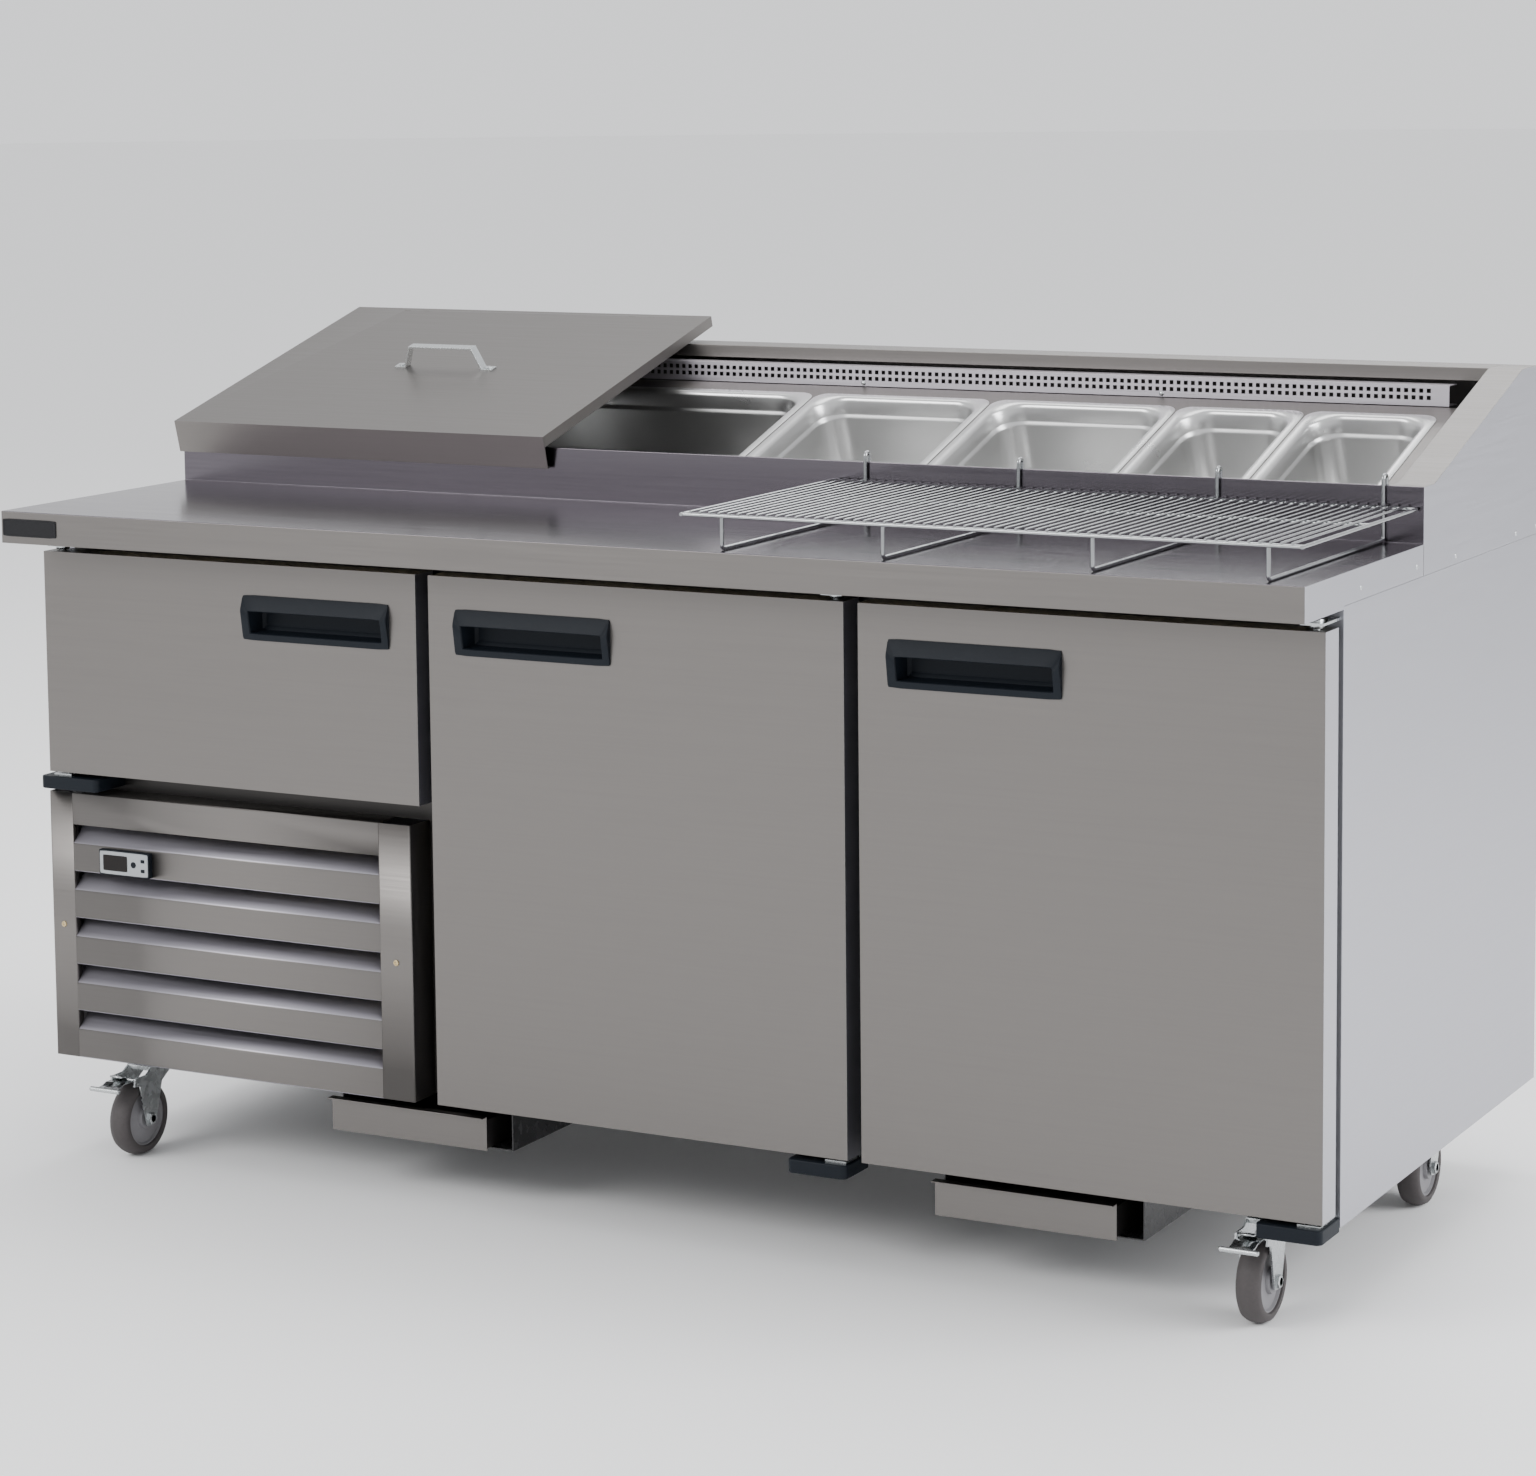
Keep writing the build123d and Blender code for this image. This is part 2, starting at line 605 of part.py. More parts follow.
# ---------------------------------------------------------------- louvre grille
GRILLE_X = (-HALF_W, -328.0)
GRILLE_Z = (136.0, MACHINE_TOP)
Y_GRILLE = -348.0
SLOT_X = (-860.0, -376.0)
SLOT_H = 25.0
SLOT_Z = [187.5 + 63.0 * step for step in range(5)]
CONTROL_X = (-812.0, -732.0)
CONTROL_Z = (390.5, 423.5)
CONTROL_BODY = 4.5
with BuildPart() as louvre_grille:
    slab(GRILLE_X, (Y_GRILLE, Y_FRAME), GRILLE_Z)
    slab(
        shrink(GRILLE_X, SHEET),
        (Y_GRILLE + SHEET, Y_FRAME + 5),
        shrink(GRILLE_Z, SHEET),
        mode=Mode.SUBTRACT,
    )
    for slot_z in SLOT_Z:
        low = slot_z - SLOT_H / 2
        high = slot_z + SLOT_H / 2
        slab(SLOT_X, (Y_GRILLE - 5, Y_GRILLE + 5), (low, high), mode=Mode.SUBTRACT)
        blade = [
            (Y_GRILLE + 0.2, low - 0.5),
            (Y_GRILLE + 22, low + 13),
            (Y_GRILLE + 22, low + 14.5),
            (Y_GRILLE + 0.2, low + 1),
        ]
        profile(Plane.YZ.offset(SLOT_X[0]), blade, SLOT_X[1] - SLOT_X[0])
    slab(
        shrink(CONTROL_X, CONTROL_BODY - 0.2),
        (Y_GRILLE - 5, Y_GRILLE + 30),
        shrink(CONTROL_Z, CONTROL_BODY - 2.7),
        mode=Mode.SUBTRACT,
    )
save(louvre_grille, "louvre_grille")

with BuildPart() as controller:
    slab(CONTROL_X, (Y_GRILLE - 8, Y_GRILLE), CONTROL_Z)
    slab(shrink(CONTROL_X, CONTROL_BODY), (Y_GRILLE, Y_GRILLE + 48), shrink(CONTROL_Z, 2.0))
save(controller, "controller")

# ---------------------------------------------------------------- fixed fasteners
# Blind rivets in the hood cheeks and worktop ends, and the screws of the duct and the grille.
RIVETS = [(-250.0, 854.0), (-55.0, 854.0), (90.0, 850.0), (330.0, 850.0), (415.0, 850.0)]
DUCT_SCREWS = [-575.0, -15.0, 421.0]
GRILLE_SCREWS = [-879.0, -352.0]
with BuildPart() as screws_and_rivets:
    for side in (-1, 1):
        for rivet_y, rivet_z in RIVETS:
            start = (side * HALF_W, rivet_y, rivet_z)
            rod(start, (side * (HALF_W + 1), rivet_y, rivet_z), 3.2)
    for screw_x in DUCT_SCREWS:
        screw_z = DUCT_Z[0] + 4.2
        rod((screw_x, DUCT_Y, screw_z), (screw_x, DUCT_Y - 2, screw_z), 3.0)
    for screw_x in GRILLE_SCREWS:
        rod((screw_x, Y_GRILLE, 315.0), (screw_x, Y_GRILLE - 2.4, 315.0), 4.2)
save(screws_and_rivets, "screws_and_rivets")

# ---------------------------------------------------------------- defrost drip trays
TRAY_Z = (78.0, 123.0)
TRAYS = [("drip_tray_left", -471.0), ("drip_tray_right", 394.0)]
TRAY_FRONT_W = 235.0
TRAY_BACK = -70.0
Y_TRAY = -325.0
HOUSING_W = 262.0
with BuildPart() as tray_housings:
    for _, tray_x in TRAYS:
        house = (tray_x + 3, tray_x + HOUSING_W)
        slab(house, (Y_FRAME + 1, TRAY_BACK), (TRAY_Z[0] - 2, Z_BASE))
        slab(
            shrink(house, SHEET),
            (Y_TRAY, TRAY_BACK - SHEET),
            (TRAY_Z[0] - 2 + SHEET, Z_BASE + 5),
            mode=Mode.SUBTRACT,
        )
save(tray_housings, "tray_housings")

for tray_name, tray_x in TRAYS:
    body = (tray_x + 7, tray_x + TRAY_FRONT_W - 4)
    with BuildPart() as drip_tray:
        slab(body, (Y_TRAY, TRAY_BACK - 6), (TRAY_Z[0] + 1, TRAY_Z[1] - 7))
        slab(
            shrink(body, SHEET),
            (Y_TRAY + SHEET, TRAY_BACK - 6 - SHEET),
            (TRAY_Z[0] + 1 + SHEET, TRAY_Z[1]),
            mode=Mode.SUBTRACT,
        )
        slab((tray_x, tray_x + TRAY_FRONT_W), (Y_TRAY, Y_TRAY + SHEET), TRAY_Z)
        slab((tray_x, tray_x + TRAY_FRONT_W), (Y_TRAY - 12, Y_TRAY), (TRAY_Z[1] - SHEET, TRAY_Z[1]))
    save(drip_tray, tray_name)

# ---------------------------------------------------------------- castors
CASTORS = [
    ("front_left", -CASTOR_FRONT_X, CASTOR_FRONT_Y, True),
    ("front_right", CASTOR_FRONT_X, CASTOR_FRONT_Y, True),
    ("rear_left", -CASTOR_REAR_X, CASTOR_REAR_Y, False),
    ("rear_right", CASTOR_REAR_X, CASTOR_REAR_Y, False),
]
KING_R = 6.0
AXLE_R = 5.0
CROWN_Z = (111.0, 119.0)
FORK_GAP = WHEEL_W / 2 + 2
FORK_T = 2.5
PEDAL_Y = -58.0
PEDAL_Z = 107.0
PEDAL_ROD_R = 3.0
with BuildPart() as castor_plates:
    for _, stem_x, stem_y, _ in CASTORS:
        slab((stem_x - 45, stem_x + 45), (stem_y - 35, stem_y + 35), (Z_BASE - 3, Z_BASE))
        rod((stem_x, stem_y, CROWN_Z[1] + 0.4), (stem_x, stem_y, Z_BASE - 2), 25)
        rod((stem_x, stem_y, CROWN_Z[0]), (stem_x, stem_y, Z_BASE - 2), KING_R)
save(castor_plates, "castor_plates")

rear_leg = [(18, 119), (-28, 119), (-46, 58), (-42, 42), (-30, 40), (-20, 46), (-6, 96), (18, 111)]
front_leg = [(18, 119), (-26, 119), (-40, 111), (-64, 111), (-66, 100), (-54, 98), (-46, 58)]
front_leg += rear_leg[3:]


def castor(place, stem_x, stem_y, braked):
    """One swivel castor: fork with its axle, wheel, and the brake pedal on a braked one."""
    outline = [(stem_y + y, z) for y, z in (front_leg if braked else rear_leg)]
    wheel_y = stem_y - CASTOR_TRAIL
    span = FORK_GAP + FORK_T
    with BuildPart() as fork:
        for start in (stem_x - span, stem_x + FORK_GAP):
            profile(Plane.YZ.offset(start), outline, FORK_T)
        crown_y = (stem_y - 28, stem_y + 18)
        slab((stem_x - span, stem_x + span), crown_y, (CROWN_Z[0] + 2, CROWN_Z[1]))
        with BuildSketch(Plane.XY.offset(CROWN_Z[0])):
            with Locations((stem_x, stem_y)):
                Circle(KING_R + RUN_FIT)
        extrude(amount=20, mode=Mode.SUBTRACT)
        if braked:
            with BuildSketch(Plane.YZ.offset(stem_x - 30)):
                with Locations((stem_y + PEDAL_Y, PEDAL_Z)):
                    Circle(PEDAL_ROD_R + RUN_FIT)
            extrude(amount=60, mode=Mode.SUBTRACT)
        rod((stem_x - span - 4, wheel_y, WHEEL_R), (stem_x + span + 4, wheel_y, WHEEL_R), AXLE_R)
    save(fork, f"castor_fork_{place}")

    with BuildPart() as wheel:
        with BuildSketch(Plane.YZ.offset(stem_x - WHEEL_W / 2)):
            with Locations((wheel_y, WHEEL_R)):
                Circle(WHEEL_R)
        extrude(amount=WHEEL_W)
        fillet(wheel.edges(), radius=6)
        for face_x, way in ((stem_x - WHEEL_W / 2, 1), (stem_x + WHEEL_W / 2, -1)):
            with BuildSketch(Plane.YZ.offset(face_x)):
                with Locations((wheel_y, WHEEL_R)):
                    Circle(34)
                    Circle(14, mode=Mode.SUBTRACT)
            extrude(amount=way * 7, mode=Mode.SUBTRACT)
        with BuildSketch(Plane.YZ.offset(stem_x - 30)):
            with Locations((wheel_y, WHEEL_R)):
                Circle(AXLE_R + RUN_FIT)
        extrude(amount=60, mode=Mode.SUBTRACT)
    save(wheel, f"castor_wheel_{place}")

    if braked:
        with BuildPart() as pedal:
            slab(
                (stem_x - FORK_GAP + 1, stem_x + FORK_GAP - 1),
                (stem_y - 106, stem_y + PEDAL_Y),
                (PEDAL_Z - 2, PEDAL_Z + 1.5),
            )
            slab(
                (stem_x - FORK_GAP + 1, stem_x + FORK_GAP - 1),
                (stem_y - 108, stem_y - 105),
                (PEDAL_Z - 9, PEDAL_Z + 1.5),
            )
            pedal_rod = (stem_y + PEDAL_Y, PEDAL_Z)
            rod((stem_x - span, *pedal_rod), (stem_x + span, *pedal_rod), PEDAL_ROD_R)
        save(pedal, f"brake_pedal_{place}")


for castor_details in CASTORS:
    castor(*castor_details)

# ---------------------------------------------------------------- refrigeration
Z_MACHINE = Z_BASE + SHEET
COMPRESSOR = (-430.0, 250.0)
with BuildPart() as compressor:
    with BuildSketch(Plane.XY.offset(Z_MACHINE + 18)):
        with Locations(COMPRESSOR):
            Ellipse(100, 78)
    extrude(amount=165)
    fillet(compressor.faces().sort_by(Axis.Z)[-1].edges(), radius=50)
    fillet(compressor.faces().sort_by(Axis.Z)[0].edges(), radius=12)
    cx, cy = COMPRESSOR
    slab((cx - 105, cx + 105), (cy - 60, cy + 60), (Z_MACHINE + 16, Z_MACHINE + 20))
    with Locations((cx, cy, Z_MACHINE + 8)):
        with GridLocations(180, 96, 2, 2):
            Cylinder(13, 16)
save(compressor, "compressor")

FAN_C = (-640.0, 320.0)
COIL_X = (-830.0, -450.0)
COIL_Z = (164.0, 464.0)
COIL_Y = (-285.0, -235.0)
with BuildPart() as condenser:
    with Locations(Plane((sum(COIL_X) / 2, sum(COIL_Y) / 2, sum(COIL_Z) / 2), z_dir=(1, 0, 0))):
        with GridLocations(38, 24, 8, 2):
            Cylinder(4.8, COIL_X[1] - COIL_X[0] + 24)
    with Locations((sum(COIL_X) / 2, sum(COIL_Y) / 2, sum(COIL_Z) / 2)):
        with GridLocations(13, 1, 30, 1):
            Box(1.2, COIL_Y[1] - COIL_Y[0], COIL_Z[1] - COIL_Z[0])
    for end_x in (COIL_X[0] - 4, COIL_X[1] + 2):
        slab((end_x, end_x + 2), (COIL_Y[0] - 4, COIL_Y[1] + 4), (Z_MACHINE, COIL_Z[1] + 6))
save(condenser, "condenser")

FAN_HUB = 30.0
BLADE_CHORD = 46.0
BLADE_TURN = radians(30)
FAN_R = 118.0
with BuildPart() as condenser_fan_motor:
    rod((FAN_C[0], -142.0, FAN_C[1]), (FAN_C[0], -80.0, FAN_C[1]), 42)
    rod((FAN_C[0], -200.0, FAN_C[1]), (FAN_C[0], -141.0, FAN_C[1]), 5)
    slab((FAN_C[0] - 12, FAN_C[0] + 12), (-120, -100), (Z_MACHINE, FAN_C[1] - 30))
    slab((FAN_C[0] - 45, FAN_C[0] + 45), (-140, -80), (Z_MACHINE, Z_MACHINE + 3))
save(condenser_fan_motor, "condenser_fan_motor")


def fan(centre_x, centre_z, y0, y1, reach, bore_r, name):
    """A pressed fan: a hub bored for its shaft, with five twisted blades."""
    with BuildPart() as blades:
        with BuildSketch(Plane.XZ.offset(-y1)):
            with Locations((centre_x, centre_z)):
                Circle(FAN_HUB)
        extrude(amount=y1 - y0)
        for turn in range(5):
            angle = radians(72 * turn)
            root = Plane(
                origin=(centre_x, (y0 + y1) / 2, centre_z),
                x_dir=(sin(angle), 0, cos(angle)),
                z_dir=(cos(angle) * sin(BLADE_TURN), cos(BLADE_TURN), -sin(angle) * sin(BLADE_TURN)),
            )
            with BuildSketch(root):
                with Locations(((FAN_HUB + reach) / 2 - 2, 0)):
                    Rectangle(reach - FAN_HUB, BLADE_CHORD)
            extrude(amount=0.8, both=True)
        with BuildSketch(Plane.XZ.offset(-y1 - 30)):
            with Locations((centre_x, centre_z)):
                Circle(bore_r)
        extrude(amount=y1 - y0 + 60, mode=Mode.SUBTRACT)
    save(blades, name)


fan(FAN_C[0], FAN_C[1], -195.0, -165.0, FAN_R, 5 + RUN_FIT, "condenser_fan")

EVAP_X = (-330.0, 330.0)
EVAP_Y = (325.0, 378.0)
EVAP_Z = (614.0, 774.0)
with BuildPart() as evaporator:
    with Locations(Plane((0, sum(EVAP_Y) / 2, sum(EVAP_Z) / 2), z_dir=(1, 0, 0))):
        with GridLocations(38, 26, 4, 2):
            Cylinder(4.8, EVAP_X[1] - EVAP_X[0] + 20)
    with Locations((0, sum(EVAP_Y) / 2, sum(EVAP_Z) / 2)):
        with GridLocations(20, 1, 33, 1):
            Box(1.2, EVAP_Y[1] - EVAP_Y[0], EVAP_Z[1] - EVAP_Z[0])
    for end_x in (EVAP_X[0] - 5, EVAP_X[1] + 3):
        slab((end_x, end_x + 2), (EVAP_Y[0], Y_COLD_REAR - LINER_T), (EVAP_Z[0] - 10, EVAP_Z[1] + 10))
save(evaporator, "evaporator")

# ---------------------------------------------------------------- shelves
SHELF_Z = 469.0
SHELVES = [(-250.0, 272.0), (330.0, 845.0)]
SHELF_Y = (-255.0, 300.0)
with BuildPart() as wire_shelves:
    for shelf_x in SHELVES:
        for rod_y in (SHELF_Y[0], 20.0, SHELF_Y[1]):
            rod((shelf_x[0], rod_y, SHELF_Z), (shelf_x[1], rod_y, SHELF_Z), 3)
        for rod_x in (shelf_x[0] + 1, shelf_x[1] - 1):
            rod((rod_x, SHELF_Y[0] - 4, SHELF_Z), (rod_x, SHELF_Y[1] + 4, SHELF_Z), 2.7)
        middle = (sum(shelf_x) / 2, sum(SHELF_Y) / 2, SHELF_Z + 3.6)
        with Locations(Plane(origin=middle, x_dir=(1, 0, 0), z_dir=(0, 1, 0))):
            with GridLocations(24, 1, 20, 1):
                Cylinder(1.6, SHELF_Y[1] - SHELF_Y[0])
save(wire_shelves, "wire_shelves")
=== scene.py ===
from math import atan2, cos, pi, radians, sin

import bmesh
import bpy
import numpy as np
from mathutils import Matrix, Vector


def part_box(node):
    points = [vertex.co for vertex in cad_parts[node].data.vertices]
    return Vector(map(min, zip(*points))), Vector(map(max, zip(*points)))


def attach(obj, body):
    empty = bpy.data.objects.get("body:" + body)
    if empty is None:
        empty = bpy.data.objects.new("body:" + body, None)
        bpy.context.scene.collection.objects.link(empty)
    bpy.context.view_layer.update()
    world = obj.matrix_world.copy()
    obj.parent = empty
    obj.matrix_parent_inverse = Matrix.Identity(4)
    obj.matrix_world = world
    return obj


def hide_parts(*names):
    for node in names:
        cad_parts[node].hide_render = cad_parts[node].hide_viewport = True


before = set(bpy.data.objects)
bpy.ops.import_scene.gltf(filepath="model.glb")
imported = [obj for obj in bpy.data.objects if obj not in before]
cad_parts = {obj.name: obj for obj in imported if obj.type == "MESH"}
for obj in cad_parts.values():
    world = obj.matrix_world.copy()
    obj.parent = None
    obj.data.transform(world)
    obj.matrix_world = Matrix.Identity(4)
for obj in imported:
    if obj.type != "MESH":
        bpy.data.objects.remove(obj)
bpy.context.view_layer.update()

# ------------------------------------------------------------------ studio
# The table stands on a wide pale floor between soft boxes, seen from its right front
# corner at chest height, with a long lens.
YAW, PITCH, ROLL = radians(-27.966), radians(6.229), radians(-0.561)
ahead = Vector((sin(YAW) * cos(PITCH), cos(YAW) * cos(PITCH), -sin(PITCH)))
right_hand = Vector((cos(YAW), -sin(YAW), 0))
up_hand = right_hand.cross(ahead)
level_x = cos(ROLL) * right_hand + sin(ROLL) * up_hand
level_y = cos(ROLL) * up_hand - sin(ROLL) * right_hand
lens = bpy.data.cameras.new("studio_camera")
lens.sensor_width = 36.0
lens.lens = 93.02
lens.shift_y = -0.17
camera = bpy.data.objects.new("studio_camera", lens)
bpy.context.scene.collection.objects.link(camera)
turn = Matrix((level_x, level_y, -ahead)).transposed().to_4x4()
camera.matrix_world = Matrix.Translation((2.3935, -4.4984, 1.473)) @ turn
bpy.context.scene.camera = camera


def soft_box(name, place, aim, size, power, tint=(1, 1, 1)):
    """A square soft light at a place, turned to face a point."""
    lamp = bpy.data.lights.new(name, "AREA")
    lamp.shape = "RECTANGLE"
    lamp.size, lamp.size_y = size
    lamp.energy = power
    lamp.color = tint
    box = bpy.data.objects.new(name, lamp)
    way = Vector(aim) - Vector(place)
    box.matrix_world = Matrix.Translation(place) @ way.to_track_quat("-Z", "Y").to_matrix().to_4x4()
    bpy.context.scene.collection.objects.link(box)


soft_box("front_box", (-2.6, -4.6, 3.6), (0, 0, 0.6), (3.2, 2.2), 190)
soft_box("side_box", (4.6, 0.8, 2.2), (0.9, 0, 0.5), (2.8, 2.4), 190, (0.97, 0.98, 1.0))
soft_box("top_box", (0.2, 0.6, 4.2), (0, 0, 0.9), (4.2, 1.6), 70)
soft_box("back_box", (-0.5, 5.2, 4.4), (0, 0, 0.6), (3.0, 1.6), 90)

world = bpy.data.worlds.new("studio_air")
world.use_nodes = True
world.node_tree.nodes["Background"].inputs["Color"].default_value = (0.93, 0.94, 0.96, 1)
world.node_tree.nodes["Background"].inputs["Strength"].default_value = 1.25
bpy.context.scene.world = world

FLOOR_R = 60.0
floor_ring = np.linspace(0, 2 * pi, 96, endpoint=False)
floor_rim = FLOOR_R * np.column_stack([np.cos(floor_ring), np.sin(floor_ring), 0 * floor_ring])
floor_mesh = bpy.data.meshes.new("studio_floor")
floor_mesh.from_pydata(floor_rim.tolist(), [], [list(range(96))])
floor = bpy.data.objects.new("studio_floor", floor_mesh)
bpy.context.scene.collection.objects.link(floor)
pale = bpy.data.materials.new("pale_floor")
pale.use_nodes = True
pale.node_tree.nodes["Principled BSDF"].inputs["Base Color"].default_value = (0.93, 0.93, 0.93, 1)
pale.node_tree.nodes["Principled BSDF"].inputs["Roughness"].default_value = 0.9
floor_mesh.materials.append(pale)

# ------------------------------------------------------------------ cabinet shell
# Side, back, base and face frame are folded stainless sheet with a fine brushed grain.
# Foam fills the walls, and embossed aluminium lines the cold room.


def noise_finish(name, colour, other, rough, scale, metal=1.0, bump=0.05, reach=0.0004, shine=0.5):
    """A finish of two close tones mixed by stretched noise, which also roughens the surface.
    scale is the noise's waves per metre along X, Y and Z: few along the grain, many across."""
    finish = bpy.data.materials.new(name)
    finish.use_nodes = True
    nodes, links = finish.node_tree.nodes, finish.node_tree.links
    shader = nodes["Principled BSDF"]
    shader.inputs["Metallic"].default_value = metal
    shader.inputs["Specular IOR Level"].default_value = shine
    place = nodes.new("ShaderNodeTexCoord")
    stretch = nodes.new("ShaderNodeMapping")
    stretch.inputs["Scale"].default_value = scale
    links.new(place.outputs["Object"], stretch.inputs["Vector"])
    grain = nodes.new("ShaderNodeTexNoise")
    grain.inputs["Scale"].default_value = 1.0
    grain.inputs["Detail"].default_value = 3.0
    grain.inputs["Roughness"].default_value = 0.6
    links.new(stretch.outputs["Vector"], grain.inputs["Vector"])
    tone = nodes.new("ShaderNodeMix")
    tone.data_type = "RGBA"
    tone.inputs["A"].default_value = (*colour, 1)
    tone.inputs["B"].default_value = (*other, 1)
    links.new(grain.outputs["Fac"], tone.inputs["Factor"])
    links.new(tone.outputs["Result"], shader.inputs["Base Color"])
    spread = nodes.new("ShaderNodeMapRange")
    spread.inputs["From Min"].default_value = 0.25
    spread.inputs["From Max"].default_value = 0.75
    spread.inputs["To Min"].default_value = rough[0]
    spread.inputs["To Max"].default_value = rough[1]
    links.new(grain.outputs["Fac"], spread.inputs["Value"])
    links.new(spread.outputs["Result"], shader.inputs["Roughness"])
    relief = nodes.new("ShaderNodeBump")
    relief.inputs["Strength"].default_value = bump
    relief.inputs["Distance"].default_value = reach
    links.new(grain.outputs["Fac"], relief.inputs["Height"])
    links.new(relief.outputs["Normal"], shader.inputs["Normal"])
    return finish


def dress(finish, *nodes):
    """Gives CAD nodes one finish in place of their plain one."""
    for node in nodes:
        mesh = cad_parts[node].data
        mesh.materials.clear()
        mesh.materials.append(finish)


def patch(mesh, *others):
    """Gives some faces another sheet. Each other is a finish and a rule, which picks faces from
    the arrays of their directions and of their middles."""
    count = len(mesh.polygons)
    facing, middle = np.zeros(count * 3), np.zeros(count * 3)
    mesh.polygons.foreach_get("normal", facing)
    mesh.polygons.foreach_get("center", middle)
    chosen = np.zeros(count, int)
    for number, (finish, rule) in enumerate(others, 1):
        mesh.materials.append(finish)
        chosen[rule(facing.reshape(-1, 3), middle.reshape(-1, 3))] = number
    mesh.polygons.foreach_set("material_index", chosen)


def sideways(facing, middle):
    """Faces that look along X; the patches give them the lighter tone, which is painted light."""
    return abs(facing[:, 0]) > 0.9


def outward(facing, middle):
    """Faces that look along X or straight to the back; the patches give them the lighter tone,
    which is painted light.
    """
    return sideways(facing, middle) | (facing[:, 1] > 0.9)


def eased(node, name, finish, body, width=0.0008, steps=2, angle=28, others=()):
    """A copy of a CAD node with its corners merged, its flat triangles joined and its sharp
    edges rounded to a radius: a folded or moulded edge is never quite sharp."""
    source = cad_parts[node].data
    spots = np.zeros(len(source.vertices) * 3)
    source.vertices.foreach_get("co", spots)
    corners = np.zeros(len(source.loops), int)
    source.loops.foreach_get("vertex_index", corners)
    mesh = bpy.data.meshes.new(name)
    mesh.from_pydata(spots.reshape(-1, 3).tolist(), [], corners.reshape(-1, 3).tolist())
    shape = bmesh.new()
    shape.from_mesh(mesh)
    bmesh.ops.remove_doubles(shape, verts=shape.verts, dist=0.00002)
    bmesh.ops.dissolve_limit(
        shape, angle_limit=radians(0.8), verts=shape.verts, edges=shape.edges
    )
    shape.to_mesh(mesh)
    shape.free()
    mesh.materials.append(finish)
    patch(mesh, *others)
    mesh.shade_smooth()
    mesh.set_sharp_from_angle(angle=radians(angle))
    piece = bpy.data.objects.new(name, mesh)
    bpy.context.scene.collection.objects.link(piece)
    edge = piece.modifiers.new("eased_edges", "BEVEL")
    edge.width = width
    edge.segments = steps
    edge.limit_method = "ANGLE"
    edge.angle_limit = radians(angle)
    edge.harden_normals = True
    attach(piece, body)
    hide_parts(node)
    return piece


# Two tones of one brushed stainless: the lighter is painted light, the darker is painted shade.
lit_sheet_tone = noise_finish(
    "stainless_lit_tone", (0.40, 0.40, 0.435), (0.45, 0.45, 0.485), (0.34, 0.44), (420, 6, 420)
)
shaded_sheet_tone = noise_finish(
    "warm_front_sheet", (0.162, 0.152, 0.145), (0.192, 0.181, 0.172), (0.36, 0.48), (6, 420, 420)
)
dark_sheet = noise_finish(
    "shaded_frame_sheet", (0.055, 0.052, 0.050), (0.075, 0.072, 0.070), (0.38, 0.5), (6, 420, 420)
)
# The side and back walls are wholly in the lighter tone, which is painted light.
for side in ("left", "right"):
    eased(f"side_panel_{side}", f"side_wall_{side}", lit_sheet_tone, "cabinet", 0.0012)
eased("back_panel", "back_wall", lit_sheet_tone, "cabinet", 0.0008)
dress(dark_sheet, "front_frame", "base_panel")
foam = noise_finish(
    "wall_foam", (0.62, 0.52, 0.30), (0.78, 0.68, 0.44), (0.8, 0.95), (160, 160, 160), 0, 0.6, 0.002
)
embossed = noise_finish(
    "embossed_liner", (0.46, 0.46, 0.46), (0.54, 0.54, 0.54), (0.28, 0.42), (190, 190, 190),
    0.9, 0.5, 0.0012
)
dress(foam, "insulation")
dress(embossed, "inner_liner")

# ------------------------------------------------------------------ refrigeration
# A black enamelled compressor on rubber feet, a finned condenser with its pressed fan, and
# the evaporator in the cold room behind the shelves.
enamel = noise_finish(
    "black_enamel", (0.012, 0.012, 0.013), (0.03, 0.03, 0.032), (0.18, 0.34), (60, 60, 60), 0.0, 0.2
)
fins = noise_finish(
    "aluminium_fins", (0.13, 0.13, 0.135), (0.19, 0.19, 0.195), (0.3, 0.45), (700, 40, 40)
)
blades = noise_finish(
    "pressed_aluminium", (0.42, 0.43, 0.44), (0.5, 0.51, 0.52), (0.28, 0.4), (220, 220, 220)
)
dress(enamel, "compressor", "condenser_fan_motor", "tray_housings")
dress(fins, "condenser", "evaporator")
dress(blades, "condenser_fan")
bright_wire = noise_finish(
    "bright_plated_wire", (0.30, 0.31, 0.315), (0.40, 0.41, 0.415), (0.14, 0.26), (90, 90, 90),
    1.0, 0.05
)
dress(bright_wire, "wire_shelves", "wire_rack")

# ------------------------------------------------------------------ worktop
# One polished pressing with an apron and a riser, and the maker's small dark plate, left
# blank, pressed on to the apron's left end.
polished_sheet = noise_finish(
    "polished_worktop", (0.132, 0.119, 0.136), (0.166, 0.151, 0.170), (0.15, 0.24), (5, 320, 320),
    bump=0.012
)
apron_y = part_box("worktop")[0].y


def on_apron(facing, middle):
    """Faces of the apron that look to the front; they get the darker tone, which is painted shade.
    """
    return (facing[:, 1] < -0.9) & (middle[:, 1] < apron_y + 0.002)


# The pressing's sides get the lighter tone as painted light, and its apron's front the darker tone
# as painted shade.
eased("worktop", "worktop_pressing", polished_sheet, "cabinet", 0.0014, 3,
      others=[(lit_sheet_tone, sideways), (shaded_sheet_tone, on_apron)])


